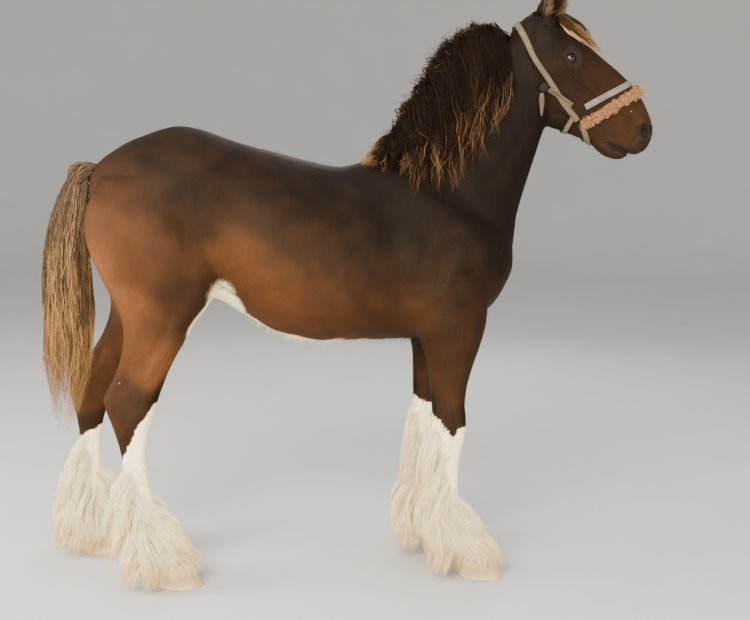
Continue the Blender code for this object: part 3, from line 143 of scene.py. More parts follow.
# Stations of the legs: front point, rear point, middle y, half width, place of the widest,
# squareness front and rear
FORE_LEG = [
    ((0.45, 1.3), (0.2, 1.27), 0.145, 0.07, 0.5, 2.0, 2.0),
    ((0.51, 1.12), (0.215, 1.11), 0.155, 0.09, 0.5, 2.2, 2.2),
    ((0.518, 1.01), (0.238, 0.985), 0.155, 0.086, 0.5, 2.2, 2.2),
    ((0.503, 0.925), (0.272, 0.9), 0.15, 0.076, 0.5, 2.2, 2.1),
    ((0.48, 0.845), (0.293, 0.83), 0.145, 0.065, 0.5, 2.1, 2.1),
    ((0.46, 0.765), (0.304, 0.76), 0.14, 0.056, 0.5, 2.1, 2.1),
    ((0.45, 0.69), (0.313, 0.69), 0.136, 0.05, 0.5, 2.2, 2.1),
    ((0.452, 0.62), (0.32, 0.62), 0.133, 0.053, 0.5, 2.6, 2.2),
    ((0.454, 0.57), (0.324, 0.565), 0.131, 0.056, 0.5, 2.8, 2.3),
    ((0.447, 0.52), (0.334, 0.515), 0.129, 0.05, 0.5, 2.6, 2.2),
    ((0.437, 0.465), (0.346, 0.46), 0.127, 0.04, 0.5, 2.3, 2.1),
    ((0.434, 0.39), (0.35, 0.385), 0.126, 0.035, 0.5, 2.1, 2.1),
    ((0.438, 0.31), (0.35, 0.3), 0.125, 0.036, 0.5, 2.1, 2.1),
    ((0.456, 0.255), (0.345, 0.23), 0.125, 0.046, 0.5, 2.2, 2.1),
    ((0.474, 0.21), (0.368, 0.17), 0.125, 0.044, 0.5, 2.2, 2.2),
    ((0.508, 0.165), (0.408, 0.115), 0.125, 0.044, 0.5, 2.1, 2.2),
    ((0.556, 0.112), (0.432, 0.075), 0.125, 0.06, 0.5, 2.2, 2.2),
    ((0.574, 0.075), (0.436, 0.05), 0.125, 0.066, 0.5, 2.2, 2.2),
]
HIND_LEG = [
    ((-0.54, 1.48), (-0.9, 1.5), 0.12, 0.09, 0.5, 2.0, 2.0),
    ((-0.48, 1.33), (-0.945, 1.4), 0.15, 0.12, 0.5, 2.1, 2.0),
    ((-0.465, 1.2), (-0.953, 1.29), 0.16, 0.125, 0.5, 2.2, 2.0),
    ((-0.48, 1.11), (-0.915, 1.18), 0.165, 0.118, 0.5, 2.2, 2.0),
    ((-0.515, 1.04), (-0.862, 1.075), 0.17, 0.1, 0.5, 2.2, 2.0),
    ((-0.568, 0.965), (-0.824, 0.985), 0.176, 0.082, 0.5, 2.1, 2.0),
    ((-0.61, 0.885), (-0.822, 0.895), 0.182, 0.067, 0.5, 2.1, 2.0),
    ((-0.648, 0.805), (-0.846, 0.805), 0.186, 0.055, 0.55, 2.1, 1.7),
    ((-0.675, 0.735), (-0.88, 0.74), 0.188, 0.048, 0.58, 2.2, 1.6),
    ((-0.694, 0.675), (-0.893, 0.695), 0.189, 0.052, 0.55, 2.3, 1.9),
    ((-0.71, 0.62), (-0.868, 0.62), 0.19, 0.051, 0.52, 2.3, 2.1),
    ((-0.727, 0.56), (-0.845, 0.55), 0.19, 0.043, 0.5, 2.2, 2.1),
    ((-0.733, 0.49), (-0.828, 0.48), 0.19, 0.036, 0.5, 2.1, 2.1),
    ((-0.726, 0.4), (-0.815, 0.39), 0.19, 0.034, 0.5, 2.1, 2.1),
    ((-0.704, 0.315), (-0.797, 0.3), 0.19, 0.036, 0.5, 2.1, 2.1),
    ((-0.682, 0.262), (-0.79, 0.235), 0.19, 0.046, 0.5, 2.2, 2.1),
    ((-0.664, 0.215), (-0.765, 0.175), 0.19, 0.044, 0.5, 2.2, 2.2),
    ((-0.632, 0.168), (-0.728, 0.118), 0.19, 0.044, 0.5, 2.1, 2.2),
    ((-0.59, 0.112), (-0.712, 0.075), 0.19, 0.058, 0.5, 2.2, 2.2),
    ((-0.572, 0.075), (-0.708, 0.05), 0.19, 0.064, 0.5, 2.2, 2.2),
]
# How far back the left legs stand, as (height, shift along X)
LEFT_FORE_SWING = [(0.0, -0.1), (0.3, -0.07), (0.65, -0.04), (1.05, 0.0)]
LEFT_HIND_SWING = [(0.0, -0.33), (0.12, -0.315), (0.25, -0.255), (0.45, -0.222), (0.68, -0.2),
                   (1.25, 0.0)]

# Swellings and hollows of the muscle and bone: points on the left side, reach, height
BODY_STROKES = [
    ([(0.19, 0.15, 1.52), (0.47, 0.2, 1.25)], 0.07, 0.016),
    ([(0.27, 0.13, 1.58), (0.57, 0.14, 1.3)], 0.035, -0.01),
    ([(0.33, 0.23, 1.12)], 0.11, 0.016),
    ([(0.13, 0.25, 1.45), (0.19, 0.25, 1.08)], 0.05, -0.009),
    ([(0.6, 0.08, 1.19)], 0.075, 0.012),
    ([(0.64, 0.0, 1.36), (0.6, 0.0, 1.06)], 0.03, -0.016),
    ([(0.66, 0.06, 1.5), (0.64, 0.1, 1.38)], 0.03, -0.006),
    ([(-0.43, 0.27, 1.36)], 0.09, -0.014),
    ([(-0.47, 0.2, 1.59)], 0.05, 0.01),
    ([(-0.7, 0.2, 1.5)], 0.14, 0.012),
    ([(-0.7, 0.25, 1.27)], 0.15, 0.018),
    ([(-0.53, 0.25, 1.08)], 0.07, 0.01),
    ([(-0.9, 0.16, 1.46), (-0.84, 0.24, 1.12)], 0.035, -0.009),
    ([(-0.97, 0.0, 1.44), (-0.86, 0.0, 1.04)], 0.035, -0.03),
    ([(-0.35, 0.0, 1.64), (-0.75, 0.0, 1.68)], 0.04, -0.008),
]
FORE_STROKES = [
    ([(0.42, 0.2, 0.9)], 0.06, 0.006),
    ([(0.36, 0.19, 0.8), (0.37, 0.18, 0.68)], 0.018, -0.005),
    ([(0.42, 0.18, 0.59)], 0.028, 0.004),
    ([(0.325, 0.14, 0.575)], 0.022, 0.008),
    ([(0.382, 0.162, 0.45), (0.385, 0.162, 0.29)], 0.012, -0.005),
    ([(0.382, 0.09, 0.45), (0.385, 0.09, 0.29)], 0.012, -0.005),
]
HIND_STROKES = [
    ([(-0.64, 0.24, 0.94)], 0.07, 0.009),
    ([(-0.79, 0.215, 0.83), (-0.81, 0.215, 0.74)], 0.022, -0.01),
    ([(-0.79, 0.155, 0.83), (-0.81, 0.155, 0.74)], 0.022, -0.01),
    ([(-0.725, 0.24, 0.65)], 0.028, 0.006),
    ([(-0.725, 0.14, 0.65)], 0.028, 0.006),
    ([(-0.782, 0.226, 0.5), (-0.765, 0.226, 0.32)], 0.012, -0.005),
    ([(-0.782, 0.154, 0.5), (-0.765, 0.154, 0.32)], 0.012, -0.005),
]
# Smaller forms of the joints, tendons, veins and skin
FORE_DETAIL = [
    ([(0.445, 0.16, 0.64), (0.452, 0.165, 0.59)], 0.014, 0.003),
    ([(0.4, 0.185, 0.65), (0.405, 0.185, 0.56)], 0.012, -0.003),
    ([(0.34, 0.17, 0.64), (0.35, 0.165, 0.54)], 0.012, -0.003),
    ([(0.44, 0.215, 0.88), (0.42, 0.195, 0.76), (0.415, 0.18, 0.68)], 0.014, 0.003),
    ([(0.34, 0.21, 0.88), (0.35, 0.19, 0.76)], 0.013, -0.003),
    ([(0.3, 0.235, 1.01), (0.33, 0.225, 0.94)], 0.016, 0.004),
    ([(0.46, 0.225, 1.0), (0.47, 0.21, 0.9)], 0.02, 0.004),
    ([(0.385, 0.07, 0.86), (0.395, 0.085, 0.7)], 0.01, 0.002),
]
HIND_DETAIL = [
    ([(-0.88, 0.21, 0.73), (-0.868, 0.215, 0.64)], 0.014, 0.003),
    ([(-0.8, 0.235, 0.7), (-0.79, 0.238, 0.62)], 0.013, -0.004),
    ([(-0.735, 0.232, 0.72), (-0.742, 0.23, 0.64), (-0.755, 0.226, 0.58)], 0.013, 0.003),
    ([(-0.69, 0.24, 0.86), (-0.715, 0.235, 0.78), (-0.735, 0.23, 0.71)], 0.014, 0.003),
    ([(-0.64, 0.262, 1.01), (-0.69, 0.25, 0.9), (-0.745, 0.235, 0.82)], 0.02, -0.006),
    ([(-0.76, 0.24, 0.96), (-0.8, 0.225, 0.86), (-0.85, 0.215, 0.77)], 0.014, 0.003),
    ([(-0.6, 0.262, 0.98), (-0.64, 0.252, 0.9)], 0.022, 0.005),
]
BODY_DETAIL = [
    ([(-0.56, 0.275, 1.16), (-0.5, 0.285, 1.05)], 0.028, 0.007),
    ([(-0.47, 0.285, 1.24), (-0.455, 0.28, 1.12)], 0.03, -0.01),
    ([(-0.61, 0.27, 1.42), (-0.56, 0.29, 1.24), (-0.57, 0.285, 1.12)], 0.035, -0.007),
    ([(-0.82, 0.215, 1.38), (-0.78, 0.245, 1.22), (-0.76, 0.235, 1.08)], 0.026, -0.005),
    ([(-0.02, 0.29, 1.2), (-0.08, 0.29, 1.01)], 0.016, 0.002),
    ([(-0.09, 0.3, 1.2), (-0.15, 0.295, 1.01)], 0.016, 0.002),
    ([(-0.16, 0.3, 1.19), (-0.22, 0.295, 1.02)], 0.016, 0.002),
    ([(0.06, 0.275, 1.18), (0.01, 0.28, 1.0)], 0.016, 0.002),
    ([(0.2, 0.24, 1.02), (0.06, 0.26, 0.97), (-0.12, 0.25, 0.95)], 0.01, 0.0025),
    ([(0.4, 0.235, 1.26), (0.35, 0.25, 1.12), (0.26, 0.245, 1.06)], 0.024, 0.005),
    ([(0.28, 0.245, 1.3), (0.24, 0.25, 1.14)], 0.022, -0.004),
    ([(0.48, 0.15, 1.48), (0.56, 0.12, 1.56), (0.65, 0.075, 1.7)], 0.018, -0.005),
]
# The same on the head: points as (along, front, y)
HEAD_STROKES = [
    ([(0.175, -0.11, 0.09)], 0.07, 0.008),
    ([(0.09, -0.15, 0.08), (0.18, -0.175, 0.08), (0.26, -0.15, 0.075)], 0.016, 0.005),
    ([(0.25, -0.02, 0.09), (0.4, -0.02, 0.07)], 0.014, 0.006),
    ([(0.31, 0.04, 0.06), (0.45, 0.05, 0.05)], 0.024, -0.005),
    ([(0.185, 0.012, 0.092), (0.215, 0.014, 0.092)], 0.018, 0.008),
    ([(0.13, 0.01, 0.08)], 0.024, -0.009),
    ([(0.59, 0.04, 0.056)], 0.03, 0.009),
    ([(0.54, 0.01, 0.056)], 0.028, -0.005),
    ([(0.06, -0.06, 0.08), (0.1, -0.12, 0.085)], 0.022, -0.006),
]

# Mane: root along X on the crest, drift along X, fall and rise of the hair from there
MANE = [
    (0.055, -0.05, 0.03, 0.01),
    (0.11, -0.095, 0.055, 0.018),
    (0.17, -0.07, 0.075, 0.035),
    (0.22, -0.03, 0.11, 0.065),
    (0.28, -0.035, 0.22, 0.105),
    (0.36, -0.04, 0.34, 0.135),
    (0.44, -0.05, 0.41, 0.15),
    (0.5, -0.06, 0.43, 0.145),
    (0.54, -0.065, 0.38, 0.125),
    (0.574, -0.055, 0.31, 0.095),
]
# Tail: middle of the hair as x, z, half depth, half width
TAIL = [
    (-0.985, 1.5, 0.022, 0.026),
    (-1.008, 1.455, 0.044, 0.04),
    (-1.028, 1.37, 0.058, 0.048),
    (-1.042, 1.26, 0.066, 0.057),
    (-1.047, 1.15, 0.081, 0.068),
    (-1.04, 1.0, 0.088, 0.074),
    (-1.046, 0.86, 0.086, 0.072),
    (-1.048, 0.74, 0.078, 0.064),
    (-1.052, 0.64, 0.062, 0.05),
    (-1.064, 0.55, 0.04, 0.034),
]
DOCK = [(-0.915, 1.5, 0.026), (-0.96, 1.505, 0.027), (-0.992, 1.48, 0.027), (-1.012, 1.42, 0.025),
        (-1.026, 1.32, 0.021), (-1.034, 1.2, 0.016), (-1.038, 1.09, 0.009)]

# Zones of the bay coat and of painted light and shade: place along X, height, reach, how dark, how golden.
# Besides the coat's own darker and redder places, they paint a highlight at the elbow and warm light along
# the rear of the buttock and on the gaskins
BAY_AND_PAINTED_LIGHT_ZONES = [
    (0.76, 2.0, 0.13, 0.9, 0.0), (0.86, 1.9, 0.1, 0.6, 0.0), (0.79, 1.8, 0.07, 0.72, 0.0),
    (0.94, 1.73, 0.07, 0.64, 0.0), (1.02, 1.74, 0.08, 0.38, 0.0), (0.62, 1.72, 0.16, 1.0, 0.0),
    (0.54, 1.48, 0.15, 0.98, 0.0), (0.6, 1.24, 0.1, 0.92, 0.0), (0.44, 1.28, 0.12, 0.85, 0.0),
    (0.54, 1.08, 0.1, 0.72, 0.0), (0.32, 1.15, 0.08, 0.72, 0.0), (0.26, 1.05, 0.07, 0.22, 0.02),
    (0.38, 0.92, 0.1, 0.6, 0.0), (0.39, 0.7, 0.12, 0.45, 0.0), (0.22, 1.4, 0.15, 0.98, 0.0),
    (0.13, 1.2, 0.09, 0.72, 0.0), (0.11, 1.04, 0.1, 0.46, 0.0), (-0.05, 1.45, 0.14, 0.98, 0.0),
    (-0.01, 1.29, 0.09, 0.7, 0.0), (-0.16, 1.24, 0.11, 0.42, 0.0), (-0.07, 1.03, 0.13, 0.24, 0.0),
    (-0.26, 1.07, 0.12, 0.06, 0.05), (-0.22, 1.42, 0.12, 0.78, 0.0), (-0.37, 1.45, 0.11, 0.8, 0.0),
    (-0.43, 1.26, 0.11, 0.02, 0.08), (-0.55, 1.48, 0.12, 0.88, 0.0), (-0.56, 1.36, 0.1, 0.56, 0.0),
    (-0.66, 1.6, 0.1, 0.78, 0.0), (-0.57, 1.11, 0.09, 0.62, 0.0), (-0.69, 1.24, 0.11, 0.22, 0.0),
    (-0.8, 1.43, 0.09, 0.46, 0.0), (-0.87, 1.34, 0.08, 0.1, 0.1), (-0.9, 1.18, 0.07, 0.0, 0.85),
    (-0.79, 1.06, 0.07, 0.0, 0.45), (-0.66, 1.0, 0.08, 0.3, 0.0), (-0.77, 0.9, 0.07, 0.2, 0.1),
    (-0.67, 0.84, 0.07, 0.0, 0.4), (-0.83, 0.66, 0.09, 0.42, 0.0), (-0.96, 0.68, 0.11, 0.16, 0.1),
    (-0.78, 1.22, 0.08, 0.16, 0.06),
]


def on_head(along, front):
    """A point (x, z) at a distance down the face from the poll and in front of the face's line."""
    down = (math.cos(HEAD_TILT), -math.sin(HEAD_TILT))
    ahead = (math.sin(HEAD_TILT), math.cos(HEAD_TILT))
    return (POLL[0] + along * down[0] + front * ahead[0], POLL[1] + along * down[1] + front * ahead[1])


def in_head(along, front, y):
    x, z = on_head(along, front)
    return (x, y, z)


def head_measures(points):
    """Distance down the face and in front of its line, for each point."""
    x, z = points[:, 0] - POLL[0], points[:, 2] - POLL[1]
    c, s = math.cos(HEAD_TILT), math.sin(HEAD_TILT)
    return x * c - z * s, x * s + z * c


def ease_in(value, low, high):
    """0 below low, 1 above high and a smooth rise between."""
    t = np.clip((np.asarray(value, float) - low) / (high - low), 0, 1)
    return t * t * (3 - 2 * t)


def ripple(points, size, seed):
    """Uneven values between about -1 and 1, with features of one size."""
    draw = np.random.default_rng(seed)
    turns = draw.normal(size=(7, 3))
    turns /= np.linalg.norm(turns, axis=1)[:, None]
    return np.sin(points @ turns.T * (2 * math.pi / size) + draw.uniform(0, 2 * math.pi, 7)).sum(1) / 3.5


def smooth_rows(rows, steps):
    """Rows of numbers joined by a smooth curve through each of them."""
    rows = np.asarray(rows, float)
    padded = np.vstack([2 * rows[0] - rows[1], rows, 2 * rows[-1] - rows[-2]])
    out = []
    for i in range(1, len(padded) - 2):
        p0, p1, p2, p3 = padded[i - 1:i + 3]
        for t in np.linspace(0, 1, steps, endpoint=False):
            bend = (2 * p0 - 5 * p1 + 4 * p2 - p3) * t * t + (3 * p1 - p0 - 3 * p2 + p3) * t ** 3
            out.append(0.5 * (2 * p1 + (p2 - p0) * t + bend))
    out.append(padded[-2])
    return np.array(out)


def unit(vectors):
    return vectors / np.maximum(np.linalg.norm(vectors, axis=-1, keepdims=True), 1e-9)


def new_object(name, mesh):
    obj = bpy.data.objects.new(name, mesh)
    bpy.context.scene.collection.objects.link(obj)
    return obj


def mesh_points(mesh):
    points = np.empty(len(mesh.vertices) * 3)
    mesh.vertices.foreach_get("co", points)
    return points.reshape(-1, 3)


def mesh_normals(mesh):
    normals = np.empty(len(mesh.vertices) * 3)
    mesh.vertex_normals.foreach_get("vector", normals)
    return normals.reshape(-1, 3)


def set_points(mesh, points):
    mesh.vertices.foreach_set("co", np.ascontiguousarray(points).ravel())
    mesh.update()


def settle(obj, modifier_type, **settings):
    """Adds a modifier and applies it."""
    modifier = obj.modifiers.new(modifier_type.lower(), modifier_type)
    for key, value in settings.items():
        setattr(modifier, key, value)
    graph = bpy.context.evaluated_depsgraph_get()
    mesh = bpy.data.meshes.new_from_object(obj.evaluated_get(graph))
    obj.modifiers.clear()
    old = obj.data
    obj.data = mesh
    bpy.data.meshes.remove(old)


def combine(obj, tool, operation):
    """Joins, cuts or trims one closed mesh with another and removes the other."""
    settle(obj, "BOOLEAN", object=tool, operation=operation, solver="MANIFOLD")
    bpy.data.objects.remove(tool)


def swollen(obj, name, distance):
    """A copy whose surface stands off by a distance."""
    piece = new_object(name, obj.data.copy())
    set_points(piece.data, mesh_points(piece.data) + distance * mesh_normals(piece.data))
    return piece


def loft(name, rings):
    """A closed mesh through rings with the same number of points."""
    count = len(rings[0])
    points = [tuple(point) for ring in rings for point in ring]
    faces = []
    for i in range(len(rings) - 1):
        a, b = i * count, (i + 1) * count
        faces += [(a + j, a + (j + 1) % count, b + (j + 1) % count, b + j) for j in range(count)]
    faces.append(tuple(range(count))[::-1])
    faces.append(tuple((len(rings) - 1) * count + j for j in range(count)))
    mesh = bpy.data.meshes.new(name)
    mesh.from_pydata(points, [], faces)
    work = bmesh.new()
    work.from_mesh(mesh)
    bmesh.ops.recalc_face_normals(work, faces=work.faces)
    work.to_mesh(mesh)
    work.free()
    return new_object(name, mesh)


def station_ring(station):
    """Points round one station, from its first edge over the left side and back."""
    ax, az, bx, bz, y, half, widest, square_a, square_b = station
    turn = 2 * math.pi * np.arange(RING_POINTS) / RING_POINTS
    up, side = np.cos(turn), np.sin(turn)
    power = 2 / np.where(up > 0, square_a, square_b)
    up = np.sign(up) * np.abs(up) ** power
    side = np.sign(side) * np.abs(side) ** power
    reach = widest + np.where(up > 0, (1 - widest) * up, widest * up)
    return np.column_stack([bx + reach * (ax - bx), y + half * side, bz + reach * (az - bz)])


def loft_stations(name, stations):
    flat = [(*a, *b, *rest) for a, b, *rest in stations]
    return loft(name, [station_ring(row) for row in smooth_rows(flat, STEPS_BETWEEN)])


def head_stations(stations):
    return [(on_head(u, f), on_head(u, r), 0, *rest) for u, f, r, *rest in stations]


def swing_at(swing, height):
    heights, shifts = zip(*swing)
    return float(np.interp(height, heights, shifts))


def leg_swing(pair, side):
    if side < 0:
        return [(0, 0), (1, 0)]
    return LEFT_FORE_SWING if pair == "fore" else LEFT_HIND_SWING


def leg_stations(pair, side):
    """The stations of one leg, on its side and swung back by its own shift."""
    swing = leg_swing(pair, side)
    return [((a[0] + swing_at(swing, a[1]), a[1]), (b[0] + swing_at(swing, b[1]), b[1]), side * y, *rest)
            for a, b, y, *rest in (FORE_LEG if pair == "fore" else HIND_LEG)]


def leg_name(pair, side):
    return f"{pair}_{'left' if side > 0 else 'right'}"


def leg_edges(pair, side, height):
    """Front edge, rear edge and middle y of a leg at each height."""
    stations = leg_stations(pair, side)
    fronts = np.array(sorted((a[1], a[0]) for a, *_ in stations))
    rears = np.array(sorted((b[1], b[0]) for _, b, *_ in stations))
    front = np.interp(height, fronts[:, 0], fronts[:, 1])
    return front, np.interp(height, rears[:, 0], rears[:, 1]), stations[-1][2]


def leg_middle(pair, side, height):
    front, rear, y = leg_edges(pair, side, height)
    return np.array(((front + rear) / 2, y, height))


def distance_to_path(points, path):
    """Distance of each point to a line through the path's points."""
    path = np.asarray(path, float)
    if len(path) == 1:
        return np.linalg.norm(points - path[0], axis=1)
    best = np.full(len(points), np.inf)
    for a, b in zip(path, path[1:]):
        along = np.clip((points - a) @ (b - a) / ((b - a) @ (b - a)), 0, 1)
        best = np.minimum(best, np.linalg.norm(points - (a + along[:, None] * (b - a)), axis=1))
    return best


COARSE_STROKES = (("body", BODY_STROKES), ("head", HEAD_STROKES), ("fore", FORE_STROKES),
                  ("hind", HIND_STROKES))
FINE_STROKES = (("fore", FORE_DETAIL), ("hind", HIND_DETAIL), ("body", BODY_DETAIL))


def both_sides(groups):
    """Each stroke on both sides of the horse, with the left legs' own shift."""
    strokes = []
    for side in (-1, 1):
        for part, group in groups:
            for path, reach, height in group:
                if part == "head":
                    places = [in_head(u, f, side * y) for u, f, y in path]
                elif part == "body":
                    places = [(x, side * y, z) for x, y, z in path]
                else:
                    swing = leg_swing(part, side)
                    places = [(x + swing_at(swing, z), side * y, z) for x, y, z in path]
                strokes.append((places, reach, height))
    return strokes


def model_muscles(obj, groups):
    """Raises and hollows the skin along the strokes."""
    points, normals = mesh_points(obj.data), mesh_normals(obj.data)
    shift = np.zeros(len(points))
    done = set()
    for path, reach, height in both_sides(groups):
        key = tuple(map(tuple, path))
        if key not in done:
            done.add(key)
            shift += height * np.exp(-(distance_to_path(points, path) / reach) ** 2)
    set_points(obj.data, points + shift[:, None] * normals)


def make_flesh():
    """The whole flesh as one closed skin: lofted lengths, merged, eased and modelled."""
    pieces = [loft_stations("trunk", TORSO), loft_stations("neck_length", NECK),
              loft_stations("skull", head_stations(HEAD)), loft_stations("chin", head_stations(CHIN))]
    pieces += [loft_stations("limb", leg_stations(pair, side)) for side in (-1, 1)
               for pair in ("fore", "hind")]
    whole = bmesh.new()
    for piece in pieces:
        whole.from_mesh(piece.data)
        bpy.data.objects.remove(piece)
    mesh = bpy.data.meshes.new("flesh")
    whole.to_mesh(mesh)
    whole.free()
    flesh = new_object("flesh", mesh)
    settle(flesh, "REMESH", mode="VOXEL", voxel_size=SKIN_VOXEL)
    settle(flesh, "SMOOTH", factor=0.5, iterations=14)
    model_muscles(flesh, COARSE_STROKES)
    return flesh


def divide_finer(obj, inside):
    """Divides the faces whose middles lie inside a region."""
    work = bmesh.new()
    work.from_mesh(obj.data)
    edges = {edge for face in work.faces if inside(face.calc_center_median()) for edge in face.edges}
    bmesh.ops.subdivide_edges(work, edges=list(edges), cuts=1, use_grid_fill=True)
    bmesh.ops.triangulate(work, faces=[face for face in work.faces if len(face.verts) > 4])
    work.to_mesh(obj.data)
    work.free()


def even_out(obj, weight, rounds):
    """Eases the surface wherever the weight is above 0."""
    mesh = obj.data
    edges = np.empty(len(mesh.edges) * 2, dtype=np.int64)
    mesh.edges.foreach_get("vertices", edges)
    a, b = edges.reshape(-1, 2).T
    points = mesh_points(mesh)
    count = np.bincount(a, minlength=len(points)) + np.bincount(b, minlength=len(points))
    for _ in range(rounds):
        total = np.column_stack([np.bincount(a, points[b, i], len(points))
                                 + np.bincount(b, points[a, i], len(points)) for i in range(3)])
        points += 0.5 * weight[:, None] * (total / np.maximum(count, 1)[:, None] - points)
    set_points(mesh, points)


def ellipsoid(name, centre, radii, pitch=0.0, segments=32, rings=20):
    """A closed ball drawn out along its own axes."""
    bpy.ops.mesh.primitive_uv_sphere_add(segments=segments, ring_count=rings, radius=1)
    ball = bpy.context.object
    ball.name = name
    turn = np.array([[math.cos(pitch), 0, math.sin(pitch)], [0, 1, 0],
                     [-math.sin(pitch), 0, math.cos(pitch)]])
    set_points(ball.data, (mesh_points(ball.data) * radii) @ turn.T + centre)
    return ball


def eye_centre(side):
    along, front, out = EYE_PLACE
    return np.array(in_head(along, front, side * out))


FACE_DOWN = np.array((math.cos(HEAD_TILT), 0, -math.sin(HEAD_TILT)))
FACE_AHEAD = np.array((math.sin(HEAD_TILT), 0, math.cos(HEAD_TILT)))


def lid_rim(count=32):
    """The rim of the opening between the lids, as offsets from the middle of the eye."""
    ring = []
    for k in range(count):
        turn = 2 * math.pi * k / count
        pinch = 1 - 0.26 * abs(math.cos(turn)) ** 3
        high = EYE_OPENING[1] if math.sin(turn) > 0 else 0.82 * EYE_OPENING[1]
        ring.append(math.cos(turn) * EYE_OPENING[0] * FACE_DOWN + math.sin(turn) * high * pinch * FACE_AHEAD)
    return ring


def add_lids(skin, side):
    """The lids stand round the eyeball and leave an almond-shaped opening."""
    centre = eye_centre(side)
    for name, deep, operation in (("lid", 0.0034, "UNION"), ("socket", 0.0002, "DIFFERENCE")):
        ball = ellipsoid(name, centre, (EYE_RADIUS + deep,) * 3, segments=40, rings=26)
        combine(skin, ball, operation)
    out = np.array((0, side, 0))
    opening = loft("opening", [[centre + p * grow + reach * out for p in lid_rim()]
                               for reach, grow in ((0.004, 1.0), (0.02, 1.0), (0.05, 1.25))])
    combine(skin, opening, "DIFFERENCE")


# Fine folds of the head in the side view: points as (along, front), reach, height,
# least distance from the middle
FACE_FOLDS = [
    ([(0.545, -0.108), (0.575, -0.096), (0.61, -0.078), (0.645, -0.06), (0.69, -0.042)],
     0.0036, -0.006, 0.0),
    ([(0.55, -0.088), (0.605, -0.063), (0.65, -0.04)], 0.011, 0.0035, 0.0),
    ([(0.57, -0.113), (0.625, -0.088)], 0.0095, 0.0022, 0.0),
    ([(0.532, -0.104), (0.538, -0.116)], 0.0065, -0.0024, 0.02),
    ([(0.576, 0.01), (0.584, 0.046), (0.606, 0.062)], 0.008, 0.006, 0.03),
    ([(0.628, 0.044), (0.634, 0.016), (0.618, -0.004)], 0.008, 0.0052, 0.03),
    ([(0.552, 0.046), (0.566, 0.014), (0.562, -0.016)], 0.011, -0.003, 0.03),
    ([(0.6, -0.004), (0.606, -0.03)], 0.009, -0.003, 0.03),
    ([(0.178, -0.016), (0.194, -0.002), (0.216, -0.002), (0.238, -0.018)], 0.0035, -0.0026, 0.04),
    ([(0.18, 0.002), (0.208, 0.01), (0.236, 0.002)], 0.0085, 0.0042, 0.04),
    ([(0.18, -0.048), (0.204, -0.06), (0.23, -0.055)], 0.0036, -0.002, 0.04),
    ([(0.186, -0.056), (0.206, -0.069), (0.234, -0.064)], 0.0065, 0.0022, 0.04),
    ([(0.234, -0.036), (0.252, -0.048)], 0.005, -0.0026, 0.04),
    ([(0.252, -0.062), (0.33, -0.042), (0.41, -0.028)], 0.0065, 0.0042, 0.03),
    ([(0.3, -0.112), (0.37, -0.074), (0.43, -0.026), (0.5, 0.026)], 0.005, 0.0022, 0.03),
    ([(0.36, -0.078), (0.42, -0.082), (0.47, -0.062)], 0.0045, 0.0018, 0.03),
    ([(0.445, 0.04), (0.5, 0.052), (0.548, 0.046)], 0.012, 0.0024, 0.03),
    ([(0.545, -0.06), (0.595, -0.04)], 0.0055, -0.0016, 0.03),
    ([(0.13, -0.06), (0.145, -0.11)], 0.012, -0.003, 0.04),
    ([(0.105, -0.01), (0.12, 0.012)], 0.012, -0.0024, 0.04),
    ([(0.28, -0.2), (0.33, -0.19), (0.38, -0.16)], 0.013, -0.0024, 0.03),
]


def fold_face(skin):
    """Presses the mouth line, lips, nostril rims and small folds into the head."""
    points, normals = mesh_points(skin.data), mesh_normals(skin.data)
    along, front = head_measures(points)
    flat = np.column_stack([along, front])
    near_head = (along > 0.05) & (points[:, 0] > 0.74)
    shift = np.zeros(len(points))
    for path, reach, height, least in FACE_FOLDS:
        beside = ease_in(np.abs(points[:, 1]), least, least + 0.012) if least else 1.0
        shift += height * np.exp(-(distance_to_path(flat, path) / reach) ** 2) * beside
    set_points(skin.data, points + (shift * near_head)[:, None] * normals)


# Outline of an ear up its length: share of the length, half width, half depth
EAR = [(0.0, 0.032, 0.03), (0.15, 0.038, 0.03), (0.38, 0.05, 0.029), (0.6, 0.045, 0.022),
       (0.8, 0.029, 0.013), (0.93, 0.013, 0.007), (1.0, 0.002, 0.002)]
EAR_HOLLOW = [(0.13, 0.006, 0.004), (0.22, 0.022, 0.014), (0.4, 0.039, 0.021), (0.62, 0.036, 0.016),
              (0.8, 0.022, 0.009), (0.92, 0.006, 0.003)]
EAR_ROOT = (0.07, -0.014, 0.056)
EAR_LEANS = {-1: 0.13, 1: 0.42}
EAR_TURNS = 28


def ear_axes(side):
    up = unit(np.array((EAR_LEANS[side], side * 0.16, 0.95)))
    mouth = np.array((0.55, side * 0.8, 0))
    mouth = unit(mouth - up * (mouth @ up))
    return np.array(in_head(EAR_ROOT[0], EAR_ROOT[1], side * EAR_ROOT[2])), up, mouth, np.cross(up, mouth)


def ear_shape(name, side, outline, push):
    """Rings up the ear, pushed toward its mouth by a share of its own depth."""
    root, up, mouth, across = ear_axes(side)
    turns = 2 * math.pi * np.arange(EAR_TURNS) / EAR_TURNS
    rings = []
    for share, half, depth in smooth_rows(outline, 4):
        curl = 0.014 * math.sin(math.pi * share)
        outer_depth = np.interp(share, [row[0] for row in EAR], [row[2] for row in EAR])
        centre = root + up * share * EAR_LENGTH + mouth * (push * outer_depth - curl)
        rings.append([centre + across * half * math.cos(t) + mouth * depth * math.sin(t) for t in turns])
    return loft(name, rings)


